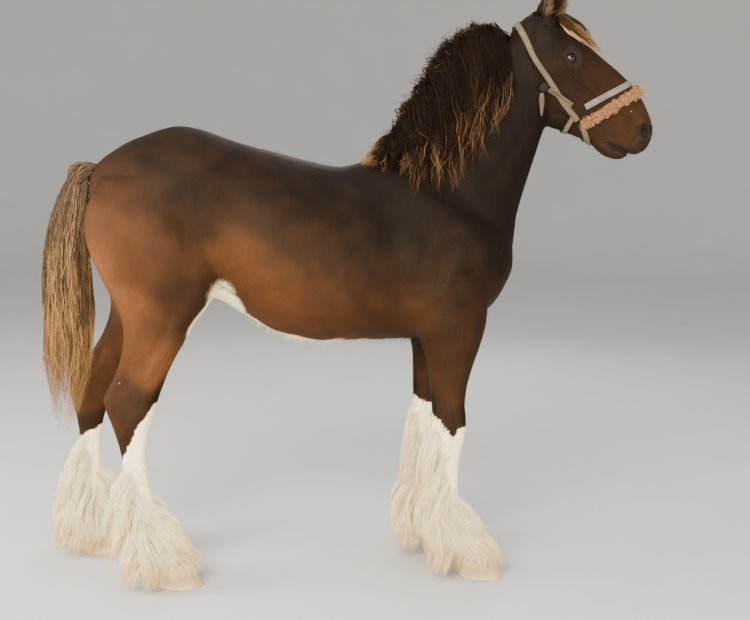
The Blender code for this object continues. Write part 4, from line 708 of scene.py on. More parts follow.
def make_skin(flesh):
    """One skin over the whole horse, with lids, nostrils, mouth, ears and dock."""
    skin = new_object("shire_horse_skin", flesh.data.copy())
    model_muscles(skin, FINE_STROKES)
    divide_finer(skin, lambda p: p.x > 0.76 and p.z > 1.55)
    points = mesh_points(skin.data)
    even_out(skin, ease_in(points[:, 0], 0.74, 0.8) * (points[:, 2] > 1.5), 2)
    along, front, out = NOSTRIL_PLACE
    eyes = [Vector(eye_centre(side)) for side in (-1, 1)]
    nostrils = [Vector(in_head(along, front, side * out)) for side in (-1, 1)]
    mouth = Vector(in_head(0.6, -0.08, 0))

    def by_a_feature(p):
        return (min((p - eye).length for eye in eyes) < 0.055 or min((p - n).length for n in nostrils) < 0.045
                or (Vector((p.x, 0, p.z)) - mouth).length < 0.085)

    divide_finer(skin, by_a_feature)
    fold_face(skin)
    points = mesh_points(skin.data)
    set_points(skin.data, points - COAT_DEPTH * mesh_normals(skin.data))
    for side in (-1, 1):
        hollow = ellipsoid("nostril", in_head(along, front, side * out), (0.0125, 0.019, 0.025), pitch=-0.4)
        combine(skin, hollow, "DIFFERENCE")
        slit = ellipsoid("nostril_slit", in_head(along - 0.016, front + 0.016, side * (out + 0.003)),
                         (0.014, 0.012, 0.007), pitch=0.75)
        combine(skin, slit, "DIFFERENCE")
        add_lids(skin, side)
    for side in (-1, 1):
        combine(skin, ear_shape("ear_outside", side, EAR, 0.0), "UNION")
        combine(skin, ear_shape("ear_hollow", side, EAR_HOLLOW, 0.62), "DIFFERENCE")
    combine(skin, make_dock(), "UNION")
    points = mesh_points(skin.data)
    weight = np.zeros(len(points))
    for side in (-1, 1):
        far = np.linalg.norm(points - eye_centre(side), axis=1)
        weight = np.maximum(weight, ease_in(far, 0.0262, 0.03) * (1 - ease_in(far, 0.04, 0.055)))
        root, up, _, _ = ear_axes(side)
        rise = (points - root) @ up
        beside = np.linalg.norm(points - root - rise[:, None] * up, axis=1)
        near_root = 1 - ease_in(beside, 0.045, 0.065)
        near_root = near_root * ease_in(rise, -0.05, -0.02) * (1 - ease_in(rise, 0.045, 0.065))
        weight = np.maximum(weight, near_root)
    from_dock = np.linalg.norm(points - np.array((DOCK[0][0], 0, DOCK[0][1])), axis=1)
    weight = np.maximum(weight, 1 - ease_in(from_dock, 0.05, 0.08))
    even_out(skin, weight, 6)
    skin.data.shade_smooth()
    return skin


def make_dock():
    rows = smooth_rows(DOCK, 3)
    along = unit(np.gradient(rows[:, :2], axis=0))
    turns = 2 * math.pi * np.arange(16) / 16
    return loft("dock", [[(x - u[1] * r * math.cos(t), r * math.sin(t), z + u[0] * r * math.cos(t))
                          for t in turns] for (x, z, r), u in zip(rows, along)])


def leg_place(points):
    """For each point: whether it is on a fore leg, whether on the right, and how far forward on the leg."""
    x, y, z = points.T
    forward = np.zeros(len(points))
    best = np.full(len(points), np.inf)
    fore = np.zeros(len(points), bool)
    right = y < 0
    for pair in ("fore", "hind"):
        for side in (-1, 1):
            front, rear, middle_y = leg_edges(pair, side, np.clip(z, 0.05, 1.2))
            far = np.abs(x - (front + rear) / 2) + 3 * np.abs(y - middle_y)
            nearer = far < best
            best = np.where(nearer, far, best)
            fore = np.where(nearer, pair == "fore", fore)
            right = np.where(nearer, side < 0, right)
            forward = np.where(nearer, (2 * x - front - rear) / (front - rear), forward)
    return fore, right, np.clip(forward, -1.2, 1.2)


# Lowest line of the belly: place along X, height
BELLY_LINE = [(-0.5, 1.05), (-0.39, 0.99), (-0.27, 0.925), (-0.15, 0.893), (0.0, 0.89), (0.2, 0.9)]
# Upper border of the white on each leg: place from the rear edge (-1) to the front edge (1), height
BORDERS = {
    "fore_right": [(-1.0, 0.64), (-0.4, 0.612), (0.05, 0.556), (0.5, 0.59), (1.0, 0.602)],
    "fore_left": [(-1.0, 0.655), (0.0, 0.63), (1.0, 0.62)],
    "hind_right": [(-1.0, 0.468), (-0.7, 0.48), (0.2, 0.58), (1.0, 0.7)],
    "hind_left": [(-1.0, 0.486), (0.0, 0.492), (0.6, 0.505), (1.0, 0.535)],
}


def coat_marks_and_painted_light(points):
    """Markings at each point: white, dark, golden and bare skin, from 0 to 1. They also hold painted light
    and shade: the zones' highlights and shade, darker front and rear edges of the legs, a white line of rim
    light down the face, and dark skin drawn over the shade round the eye and on the muzzle's end.
    """
    x, y, z = points.T
    wobble = 0.01 * ripple(points, 0.11, 3) + 0.006 * ripple(points, 0.035, 4)
    dark = np.full(len(points), 0.6 * 0.02)
    gold = np.zeros(len(points))
    total = np.full(len(points), 0.02)
    # The zones' darkness and gold are partly the coat's own colour and partly painted light and shade, such
    # as the highlight at the elbow and the warm light on the rear of the buttock
    for place, height, reach, dark_and_painted_shade, gold_and_painted_light in BAY_AND_PAINTED_LIGHT_ZONES:
        near = np.exp(-((x - place) ** 2 + (z - height) ** 2) / reach ** 2)
        dark += near * dark_and_painted_shade
        gold += near * gold_and_painted_light
        total += near
    dark, gold = dark / total, gold / total
    dark += 0.06 * ripple(points, 0.3, 5) + 0.05 * ripple(points, 0.09, 6)
    fore, right, forward = leg_place(points)
    border = np.zeros(len(points))
    for leg, rows in BORDERS.items():
        own = (fore == leg.startswith("fore")) & (right == leg.endswith("right"))
        border = np.where(own, np.interp(forward, *zip(*rows)), border)
    on_leg = z < 0.86
    white = np.where(on_leg, 1 - ease_in(z + wobble, border - 0.006, border + 0.006), 0.0)
    points_dark = np.exp(-((z - border - 0.03) / np.where(fore, 0.1, 0.07)) ** 2)
    # Painted shade: the dark band above the white is made 0.25 darker near the front and rear edges of each
    # leg, where the round leg turns away from the side
    dark_and_painted_shade = np.where(fore, 0.62, 0.6) + 0.25 * (np.abs(forward) > 0.75)
    dark = np.where(on_leg, np.maximum(dark, dark_and_painted_shade * points_dark
                                       * ease_in(z, border - 0.02, border + 0.02)), dark)
    beside = np.abs(y)
    flank = np.hypot((x + 0.462) / 0.046, (z - 1.07) / 0.062) + 0.3 * wobble / 0.05
    flank = 0.85 * (1 - ease_in(flank, 0.35, 1.6)) * ease_in(beside, 0.15, 0.19)
    edge = np.interp(x, *zip(*BELLY_LINE))
    under = (1 - ease_in(z + 0.5 * wobble, edge + 0.006, edge + 0.034)) * ease_in(x, -0.6, -0.5)
    under *= (1 - ease_in(x, -0.06, 0.22)) * (1 - ease_in(beside, 0.17, 0.24)) * ease_in(z, 0.84, 0.88)
    inner = ((1 - ease_in(np.hypot((x + 0.49) / 0.11, (z - 0.99) / 0.12), 0.8, 1.2))
             * (1 - ease_in(beside, 0.19, 0.23)))
    white = np.maximum.reduce([white, 0.8 * under, flank, inner * 0.9])
    along, front = head_measures(points)
    on_face = (x > 0.7) & (along > 0.02)
    # Painted highlight: a pale line of rim light down the ridge of the face, painted as white coat
    painted_rim_line = np.exp(-((y - 0.004 - 0.005 * np.sin(along * 30)) / 0.011) ** 2) * ease_in(along, 0.06, 0.1)
    painted_rim_line *= (1 - ease_in(along, 0.4, 0.45)) * ease_in(front, 0.02, 0.04) * on_face
    white = np.maximum(white, ease_in(painted_rim_line + 0.3 * ripple(points, 0.02, 7), 0.45, 0.7))
    hole = np.hypot((along - NOSTRIL_PLACE[0]) / 0.03, (front - NOSTRIL_PLACE[1]) / 0.034)
    bare_skin_and_shade = (1 - ease_in(hole, 0.75, 1.35)) * on_face * (beside > 0.02)
    # Dark bare skin round the eye, drawn wide and a little toward the upper lid, so that it also paints the
    # shade under the upper lid
    eye = np.hypot((along - EYE_PLACE[0]) / 0.036, (front - EYE_PLACE[1] - 0.004) / 0.029)
    bare_skin_and_shade = np.maximum(bare_skin_and_shade, (1 - ease_in(eye, 0.62, 1.25)) * on_face * (beside > 0.04))
    lips = distance_to_path(np.column_stack([along, front]), FACE_FOLDS[0][0])
    bare_skin_and_shade = np.maximum(bare_skin_and_shade, (1 - ease_in(lips, 0.008, 0.03)) * on_face * ease_in(along, 0.53, 0.57))
    # The muzzle's end: partly its own dark skin, partly painted shade on the front of the muzzle
    bare_skin_and_shade = np.maximum(bare_skin_and_shade, 0.9 * ease_in(along - 0.25 * front, 0.585, 0.66) * on_face)
    return np.clip(np.column_stack([white, dark, gold, bare_skin_and_shade]), 0, 1)


def paint_marks(obj, name, values):
    """Stores four values at each point of a mesh under one name."""
    layer = obj.data.attributes.new(name, "FLOAT_COLOR", "POINT")
    layer.data.foreach_set("color", np.ascontiguousarray(values, dtype=np.float32).ravel())


def unwrap(obj):
    """An unwrap of the surface's own shape, kept as the map to bake on."""
    for other in bpy.context.selected_objects:
        other.select_set(False)
    obj.data.uv_layers.new(name="OFBake")
    bpy.context.view_layer.objects.active = obj
    obj.select_set(True)
    bpy.ops.object.mode_set(mode="EDIT")
    bpy.ops.mesh.select_all(action="SELECT")
    bpy.ops.uv.smart_project(angle_limit=math.radians(66), island_margin=0.001)
    bpy.ops.object.mode_set(mode="OBJECT")
    obj.select_set(False)


class Ground:
    """What hair grows from: a surface to look up places, directions and the unwrap."""

    def __init__(self, obj):
        mesh = obj.data
        self.points = mesh_points(mesh)
        self.faces = [tuple(face.vertices) for face in mesh.polygons]
        self.tree = BVHTree.FromPolygons([Vector(p) for p in self.points], self.faces)
        corners = np.empty(len(mesh.loops) * 2)
        mesh.uv_layers["OFBake"].data.foreach_get("uv", corners)
        starts = np.empty(len(mesh.polygons), dtype=np.int64)
        mesh.polygons.foreach_get("loop_start", starts)
        self.map = corners.reshape(-1, 2)[starts]

    def near(self, point):
        place, normal, _, _ = self.tree.find_nearest(Vector(point))
        return np.array(place), np.array(normal)

    def places_on_map(self, points):
        found = [self.tree.find_nearest(Vector(p))[2] for p in points]
        return self.map[found]

    def hit(self, start, way):
        place = self.tree.ray_cast(Vector(start), Vector(way))[0]
        return np.array(place) if place else None

    def crest(self, x):
        return self.hit((x, 0, 2.6), (0, 0, -1))[2]

    def crest_up(self, x):
        slope = (self.crest(x + 0.02) - self.crest(x - 0.02)) / 0.04
        return unit(np.array((-slope, 0, 1.0)))

    def beside(self, x, z, side, stand_off):
        found = self.hit((x, side * 0.8, z), (0, -side, 0))
        return np.array((x, (found[1] if found is not None else 0.0) + side * stand_off, z))


def lock_of_hair(draw, guide, face, count, width, depth, thick, samples, wave=0.004, gather=0.35,
                 ends=(0.72, 1.0), curl=1.5, frizz=0.25):
    """Strands along one guide, spread at the root and gathered toward the tip."""
    rows = smooth_rows(guide, 5)
    along = unit(np.gradient(rows, axis=0))
    face = np.broadcast_to(np.asarray(face, float), rows.shape)
    across = unit(np.cross(along, face))
    out = unit(np.cross(across, along))
    share = np.linspace(0, 1, samples)
    place = share[None, :] * draw.uniform(*ends, count)[:, None] * (len(rows) - 1)
    low = np.minimum(place.astype(int), len(rows) - 2)
    part = (place - low)[..., None]

    def sample(values):
        return values[low] * (1 - part) + values[low + 1] * part

    centre, side, face_out = sample(rows), unit(sample(across)), unit(sample(out))
    run = place / (len(rows) - 1)
    tighten = 1 - (1 - gather) * run ** 1.3
    a = draw.uniform(-1, 1, count)[:, None] * tighten
    b = draw.uniform(-1, 1, count)[:, None] * tighten
    phase, turn = draw.uniform(0, 2 * math.pi), draw.uniform(0, 2 * math.pi)
    own = draw.uniform(0, 2 * math.pi, count)[:, None]
    sway = wave * run * (np.sin(2 * math.pi * curl * run + phase)
                         + frizz * np.sin(2 * math.pi * 2.3 * curl * run + own))
    heave = 0.6 * wave * run * (np.sin(2 * math.pi * curl * run + turn)
                                + frizz * np.sin(2 * math.pi * 2.7 * curl * run + own * 1.7))
    centre = centre + side * (a * width / 2 + sway)[..., None] + face_out * (b * depth / 2 + heave)[..., None]
    twist = draw.uniform(-0.9, 0.9, count)[:, None, None]
    flat = unit(side * np.cos(twist) + face_out * np.sin(twist))
    body = thick * draw.uniform(0.7, 1.3, count)[:, None] * (1 - 0.92 * share ** 2.4)
    body = body * (0.55 + 0.45 * np.minimum(1, 4 * share))
    shade = draw.uniform(0, 1)
    tone = np.column_stack([draw.uniform(0, 1, count), np.full(count, shade)])
    return {"centre": centre, "flat": flat, "width": body, "tone": tone, "run": run}


def tufts(draw, roots, normals, lie, length, width, samples=4, lift=0.25, sink=0.002, bend=0.5):
    """Single short strands lying on a surface along the coat."""
    count = len(roots)
    lie = unit(lie - (lie * normals).sum(1)[:, None] * normals + draw.normal(0, 0.1, (count, 3)))
    share = np.linspace(0, 1, samples)[None, :, None]
    length = np.broadcast_to(length, count)[:, None, None] * draw.uniform(0.7, 1.2, count)[:, None, None]
    lift = np.broadcast_to(lift, count)[:, None, None] * draw.uniform(0.5, 1.4, count)[:, None, None]
    centre = (roots - sink * normals)[:, None] + length * share * lie[:, None]
    centre = centre + normals[:, None] * (length * lift * share * (1 - bend * share) + sink * share)
    flat = unit(np.cross(lie, normals))[:, None] * np.ones((1, samples, 1))
    body = (np.broadcast_to(width, count)[:, None] * draw.uniform(0.7, 1.3, count)[:, None]
            * (1 - 0.9 * share[..., 0] ** 2))
    tone = draw.uniform(0, 1, (count, 2))
    return {"centre": centre, "flat": flat, "width": body, "tone": tone,
            "run": np.repeat(share[..., 0], count, 0)}


def weave_hair(name, batches, ground, marks=None, flatness=0.42):
    """One mesh of closed, tapered strands with its tones, markings and bake map."""
    points, faces, tones, spots, caps = [], [], [], [], []
    first = 0
    for batch in batches:
        centre, flat, body = batch["centre"], batch["flat"], batch["width"]
        count, samples = centre.shape[:2]
        along = unit(np.gradient(centre, axis=1))
        out = unit(np.cross(flat, along))
        half = body[..., None] / 2
        ring = np.stack([centre + flat * half, centre + out * half * flatness * 2, centre - flat * half],
                        axis=2)
        ring[..., 2] = np.maximum(ring[..., 2], FLOOR_CLEARANCE)
        strands = ring.reshape(count, samples * 3, 3)
        points.append(strands.reshape(-1, 3))
        base = first + np.arange(count)[:, None, None] * samples * 3
        step = np.arange(samples - 1)[None, :, None] * 3
        a = base + step + np.arange(3)[None, None, :]
        b = base + step + np.array([1, 2, 0])[None, None, :]
        faces.append(np.stack([a, b, b + 3, a + 3], axis=-1).reshape(-1, 4))
        caps += [base[:, 0] + np.array([[2, 1, 0]]), base[:, 0] + (samples - 1) * 3 + np.array([[0, 1, 2]])]
        root = centre[:, 0]
        spot = ground.places_on_map(root)
        across = np.array([-1.0, 0.0, 1.0])[None, None, :] * PATCH / 2
        u = spot[:, None, None, 0] + across + np.zeros((count, samples, 1))
        v = spot[:, None, None, 1] + (batch["run"][..., None] - 0.5) * PATCH + np.zeros((1, 1, 3))
        spots.append(np.stack([u, v], axis=-1).reshape(-1, 2))
        tone = np.empty((count, samples, 3, 4))
        tone[..., 0] = batch["tone"][:, None, None, 0]
        tone[..., 1] = batch["run"][..., None]
        tone[..., 2] = batch["tone"][:, None, None, 1]
        tone[..., 3] = 1.0
        tones.append(tone.reshape(-1, 4))
        batch["repeat"] = samples * 3
        first += count * samples * 3
    points, quads, spots = np.concatenate(points), np.concatenate(faces), np.concatenate(spots)
    ends = np.concatenate(caps)
    mesh = bpy.data.meshes.new(name)
    mesh.vertices.add(len(points))
    mesh.vertices.foreach_set("co", points.ravel())
    corners = np.concatenate([quads.ravel(), ends.ravel()])
    mesh.loops.add(len(corners))
    mesh.loops.foreach_set("vertex_index", corners.astype(np.int32))
    starts = np.concatenate([np.arange(len(quads)) * 4, len(quads) * 4 + np.arange(len(ends)) * 3])
    mesh.polygons.add(len(starts))
    mesh.polygons.foreach_set("loop_start", starts.astype(np.int32))
    mesh.update(calc_edges=True)
    mesh.validate()
    layer = mesh.uv_layers.new(name="OFBake")
    layer.data.foreach_set("uv", np.clip(spots, 0, 1)[corners].ravel())
    obj = new_object(name, mesh)
    paint_marks(obj, "strand", np.concatenate(tones))
    if marks is not None:
        values = [np.repeat(marks(batch["centre"][:, 0]), batch["repeat"], axis=0) for batch in batches]
        paint_marks(obj, "marks", np.concatenate(values))
    mesh.shade_smooth()
    return obj


def make_mane(ground):
    """Wavy locks that rise off the crest and fall to the right, fewer to the left."""
    draw = np.random.default_rng(41)
    xs, drifts, falls, rises = np.array(MANE).T
    batches = []
    for k in range(MANE_LOCKS):
        share = ((k + draw.uniform(0, 1)) / MANE_LOCKS) ** 0.8
        x = 0.15 + share * (xs[-1] - 0.14)
        drift = np.interp(x, xs, drifts) + draw.uniform(-0.045, 0.04)
        fall = np.interp(x, xs, falls) * draw.uniform(0.6, 1.0)
        rise = np.interp(x, xs, rises) * draw.uniform(0.25, 0.95) + 0.006
        side = -1 if k % 7 else 1
        if side > 0:
            fall = min(fall, draw.uniform(0.1, 0.22))
        up, z = ground.crest_up(x), ground.crest(x)
        base = np.array((x, 0, z))
        aside = np.array((0, side, 0))
        lean = draw.uniform(-0.04, 0.03)
        turn_over = np.array((0.2 * drift + lean, 0, -0.03 - 0.1 * fall))
        path = [base - up * 0.012, base + up * 0.55 * rise + aside * 0.004,
                base + up * rise + aside * 0.026 + np.array((0.3 * lean, 0, 0)),
                base + up * 0.42 * rise + aside * (0.055 + 0.22 * rise) + turn_over]
        loose = draw.uniform(0.006, 0.048)
        for reach in (0.45, 0.74, 1.0):
            off = loose * (1.2 - 0.4 * reach) + 0.005
            path.append(ground.beside(x + drift * reach + lean, z - fall * reach, side, off))
        face = [up * max(0.0, 1 - 2.2 * s) + aside * (0.15 + s) for s in np.linspace(0, 1, 31)]
        batch = lock_of_hair(draw, path, face, 23, draw.uniform(0.04, 0.07), 0.028, 0.0032, 10, wave=0.012,
                             gather=draw.uniform(0.28, 0.62), ends=(0.62, 1.05),
                             curl=draw.uniform(1.4, 2.8), frizz=0.9)
        batches.append(batch)
    return weave_hair("mane_locks", batches, ground)


# The forelock's pale lower edge on the near side, and on from it the line of painted rim light down the ridge
# of the face, as (along, front) on the head
FORELOCK_EDGE_AND_RIM_LIGHT = [(0.08, 0.03), (0.117, 0.026), (0.159, 0.026), (0.2, 0.044), (0.24, 0.062), (0.29, 0.078),
             (0.345, 0.094)]


def make_withers_tuft(ground):
    """The blond end of the mane, swept back along the crest to the withers."""
    draw = np.random.default_rng(38)
    batches = []
    for k in range(WITHERS_LOCKS):
        x, side = draw.uniform(0.18, 0.27), -1 if k % 4 else 1
        reach, stand = draw.uniform(0.13, 0.21), draw.uniform(0.02, 0.06)
        path = [np.array((x, 0, ground.crest(x) - 0.01))]
        for step, height in ((0.15, 0.8), (0.4, 1.0), (0.7, 0.65), (1.0, 0.15)):
            there = x - reach * step
            rise = ground.crest_up(there) * (0.006 + stand * height)
            aside = np.array((0, side * (0.006 + 0.05 * step ** 1.5), -0.03 * step ** 2))
            path.append(np.array((there, 0, ground.crest(there))) + rise + aside)
        batches.append(lock_of_hair(draw, path, (0, side, 0.6), 22, 0.034, 0.024, 0.003, 10, wave=0.008,
                                    gather=0.55, ends=(0.6, 1.04), curl=1.5, frizz=0.8))
    return weave_hair("withers_tuft", batches, ground)


def make_crest_tufts(ground):
    """Shorter hair standing up and out along the crest, with a few tall loose wisps near the ears."""
    draw = np.random.default_rng(40)
    xs, _, _, rises = np.array(MANE).T
    batches = []
    for k in range(CREST_TUFTS):
        x = 0.1 + (xs[-1] - 0.1) * draw.uniform(0, 1) ** 0.7
        tall = draw.uniform(1.25, 1.65) if k % 7 == 0 and 0.59 < x < 0.67 else draw.uniform(0.55, 1.04)
        rise = (np.interp(x, xs, rises) + 0.01) * tall
        up, z = ground.crest_up(x), ground.crest(x)
        base = np.array((x, draw.uniform(-0.014, 0.012), z))
        lean, sweep = draw.uniform(-0.75, 0.3), draw.uniform(-0.06, 0.035)
        path = [base - up * 0.012, base + up * 0.5 * rise + np.array((0, 0.1 * lean * rise, 0)),
                base + up * 0.86 * rise + np.array((0.4 * sweep, lean * rise * 0.45, 0)),
                base + up * 1.02 * rise + np.array((sweep, lean * rise * 0.9, -0.2 * rise * abs(lean)))]
        batches.append(lock_of_hair(draw, path, (0.3, 1, 0), 13, draw.uniform(0.03, 0.055), 0.03, 0.0026, 7,
                                    wave=0.01, gather=draw.uniform(0.35, 1.1), ends=(0.6, 1.04), curl=1.4,
                                    frizz=1.0))
    return weave_hair("mane_crest_tufts", batches, ground)


def make_forelock(ground):
    """Dark gold-tipped locks from between the ears, fanned over the forehead and drawn in again."""
    draw = np.random.default_rng(42)
    batches = []
    for k in range(FORELOCK_LOCKS):
        share = (k + draw.uniform(0, 1)) / FORELOCK_LOCKS
        wide = -0.072 + 0.14 * share
        end, lift = draw.uniform(0.2, 0.315), draw.uniform(0.006, 0.046) * (1 - (2 * share - 1) ** 2 * 0.6)
        path = [np.array(in_head(0.0, -0.025, 0.3 * wide)),
                np.array(in_head(0.02, 0.02 + 0.3 * lift, 0.45 * wide))]
        for along, y, stand in ((0.075, 0.85 * wide, 0.8), (0.14, wide, 1.0),
                                (0.5 * (0.14 + end), 0.75 * wide, 0.9), (end, 0.35 * wide, 0.35)):
            found = ground.hit(in_head(along, 0.3, y), tuple(-FACE_AHEAD))
            path.append(found + FACE_AHEAD * (0.004 + lift * stand))
        batches.append(lock_of_hair(draw, path, FACE_AHEAD, 20, draw.uniform(0.018, 0.03), 0.014, 0.0026, 10,
                                    wave=0.007, gather=0.5, ends=(0.55, 1.03), curl=1.8, frizz=0.8))
    return weave_hair("forelock_locks", batches, ground)


def make_forelock_edge_and_rim_light(ground):
    """The pale lower edge of the forelock on the near side, and fine pale hair down the ridge of the face
    that paints the rim light there.
    """
    draw = np.random.default_rng(46)
    batches = []
    for k in range(EDGE_AND_RIM_LIGHT_LOCKS):
        off = draw.uniform(0.008, 0.022) if k % 2 else draw.uniform(-0.004, 0.003)
        path = [np.array(in_head(0.03, 0.026, -0.03))]
        for along, front in FORELOCK_EDGE_AND_RIM_LIGHT:
            found = ground.hit(in_head(along, front + off, -0.3), (0, 1, 0))
            if found is None:
                found = np.array(in_head(along, front + off, -0.012))
            path.append(found - np.array((0, 0.003, 0)) + FACE_AHEAD * draw.uniform(0.001, 0.006))
        batches.append(lock_of_hair(draw, path[:5 + k % 4], FACE_AHEAD, 9, 0.006, 0.005, 0.0018, 12,
                                    wave=0.003, gather=0.6, ends=(0.5, 1.0), curl=1.4, frizz=0.8))
    return weave_hair("forelock_edge_and_rim_light_locks", batches, ground)


def make_tail(ground, name, seed, locks, fills, strands, samples):
    """Long wavy locks hung round the dock."""
    draw = np.random.default_rng(seed)
    heights, middle, deep, wide = ([row[i] for row in TAIL][::-1] for i in (1, 0, 2, 3))
    dock_heights, dock_places = [row[1] for row in DOCK][:0:-1], [row[0] for row in DOCK][:0:-1]
    batches = []
    for k in range(locks):
        fill = draw.uniform(*fills)
        outer = fill > 0.9
        turn = 2 * math.pi * (k * 0.61803 + draw.uniform(-0.03, 0.03))
        root_z = 1.497 - (0.16 if outer else 0.34) * draw.random() ** 1.5
        tip_z = draw.uniform(0.545, 0.76) if outer else draw.uniform(0.55, 0.72)
        root_x = np.interp(root_z, dock_heights, dock_places)
        ahead = 0.006 if math.cos(turn) > 0 else -0.006
        path = [(root_x + ahead, 0.01 * math.sin(turn), root_z + 0.012)]
        if outer and k % 5 < 2:
            root_z = 1.497
            start = draw.uniform(-0.96, -0.905)
            aside = draw.uniform(-1, 1)
            path = [(start, 0.02 * aside, 1.514 - 0.1 * max(0, start + 0.935)),
                    (start - 0.03, 0.026 * aside, 1.531 - 0.006 * abs(aside)),
                    (min(start - 0.055, -0.985), 0.03 * aside, 1.516 - 0.012 * abs(aside))]
        for step in (0.06, 0.16, 0.3, 0.46, 0.62, 0.8, 1.0):
            z = root_z + (tip_z - root_z) * step
            spread = fill * (0.82 if step == 0.06 else 0.98) * (0.8 if step == 1.0 else 1.0)
            path.append((np.interp(z, heights, middle) + spread * np.interp(z, heights, deep) * math.cos(turn)
                         + draw.uniform(-0.008, 0.008),
                         spread * np.interp(z, heights, wide) * math.sin(turn), z))
        face = (math.cos(turn), math.sin(turn), 0.05)
        batches.append(lock_of_hair(draw, path, face, strands, draw.uniform(0.03, 0.052), 0.02, 0.0036,
                                    samples, wave=0.009, gather=draw.uniform(0.35, 0.7), ends=(0.62, 1.03),
                                    curl=draw.uniform(3.0, 5.0), frizz=0.8))
    return weave_hair(name, batches, ground)


# The bell that the feather makes: height, reach from the middle of the leg beside it and in front
FEATHER_REACH = [
    (0.56, 0.056, 0.064), (0.4, 0.054, 0.07), (0.28, 0.072, 0.094), (0.2, 0.086, 0.118),
    (0.15, 0.098, 0.128), (0.1, 0.112, 0.13), (0.06, 0.122, 0.124), (0.01, 0.128, 0.108),
]
# The same behind each leg, at these heights
REAR_HEIGHTS = (0.01, 0.06, 0.15, 0.28, 0.4, 0.56)
FEATHER_REAR = {
    "fore_right": (0.188, 0.192, 0.166, 0.134, 0.13, 0.11),
    "fore_left": (0.182, 0.186, 0.152, 0.092, 0.098, 0.092),
    "hind_right": (0.206, 0.208, 0.17, 0.108, 0.082, 0.072),
    "hind_left": (0.188, 0.192, 0.164, 0.112, 0.086, 0.072),
}
FEATHER_TOPS = {"fore_right": 0.6, "fore_left": 0.615, "hind_right": 0.44, "hind_left": 0.46}


def feather_reach(leg, height, turn):
    """How far the hair stands off the middle of a leg, at a turn from its rear."""
    rows = np.array(FEATHER_REACH)[::-1]
    beside, ahead = (np.interp(height, rows[:, 0], rows[:, i]) for i in (1, 2))
    rear = np.interp(height, REAR_HEIGHTS, FEATHER_REAR[leg])
    behind = max(0.0, math.cos(turn)) ** 1.5
    before = max(0.0, -math.cos(turn)) ** 1.5
    return beside + (rear - beside) * behind + (ahead - beside) * before


def make_feather(ground, pair, side):
    """Silky hair of one lower leg: long locks from the rear and sides over a dense cover of shorter hair."""
    draw = np.random.default_rng((44, "fore hind".split().index(pair), side + 1))
    batches = []
    leg = leg_name(pair, side)
    top = FEATHER_TOPS[leg]
    for k in range(FEATHER_LOCKS + FRONT_LOCKS):
        at_front = k >= FEATHER_LOCKS
        layer = draw.random()
        if at_front:
            root_z = 0.115 + 0.24 * layer ** 1.3
            turn = math.radians(draw.choice((-1, 1)) * draw.uniform(80, 180))
            fall = draw.uniform(0.08, 0.13)
        else:
            root_z = 0.105 + (top - 0.105) * layer ** 1.5
            widest = np.interp(root_z, (0.11, 0.2, 0.28, 0.4, 0.54), (150, 125, 90, 60, 36))
            turn = math.radians(draw.uniform(-widest, widest))
            fall = draw.uniform(0.12, 0.26) if root_z > 0.24 else draw.uniform(0.12, 0.22)
        face = np.array((-math.cos(turn), math.sin(turn), 0))
        tip_z = max(draw.uniform(0.006, 0.03), root_z - fall)
        if abs(turn) > 1.75:
            tip_z = max(tip_z, draw.uniform(0.024, 0.05))
        middle = leg_middle(pair, side, root_z)
        found = ground.hit(middle, tuple(face))
        first = (found - middle) @ face if found is not None else 0.04
        root = middle + face * first
        reach = max(first + 0.006, feather_reach(leg, tip_z, turn) * draw.uniform(0.84, 1.0))
        follow = np.interp(math.cos(turn), (-1, 0.2, 1), (1.0, 0.85, 0.62))
        path = [root - face * 0.008 + np.array((0, 0, 0.006)),
                root + face * 0.008 - np.array((0, 0, 0.14 * (root_z - tip_z)))]
        for step, share in ((0.45, 0.66), (0.75, 0.9), (1.0, 1.0)):
            z = root_z + (tip_z - root_z) * step
            out = first + 0.01 + (reach - first - 0.01) * share
            shift = follow * (leg_middle(pair, side, max(z, CORONET)) - middle)
            point = middle + shift + face * out
            path.append((point[0], point[1], z))
        if at_front:
            batches.append(lock_of_hair(draw, path, face + np.array((0, 0, 0.2)), 20, 0.046, 0.016, 0.0024, 7,
                                        wave=0.003, gather=draw.uniform(0.8, 1.1), ends=(0.7, 1.03), curl=1.0,
                                        frizz=0.6))
        else:
            batches.append(lock_of_hair(draw, path, face + np.array((0, 0, 0.2)), 22,
                                        draw.uniform(0.034, 0.056), 0.018, 0.0025, 8, wave=0.007,
                                        gather=draw.uniform(0.45, 0.95), ends=(0.66, 1.03),
                                        curl=draw.uniform(0.8, 1.8), frizz=0.8))
    batches.append(stocking_hair(draw, ground, pair, side))
    for batch in batches:
        batch["centre"][..., 1] = side * np.maximum(side * batch["centre"][..., 1], 0.004)
    return weave_hair("feather_" + leg, batches, ground, coat_marks_and_painted_light)


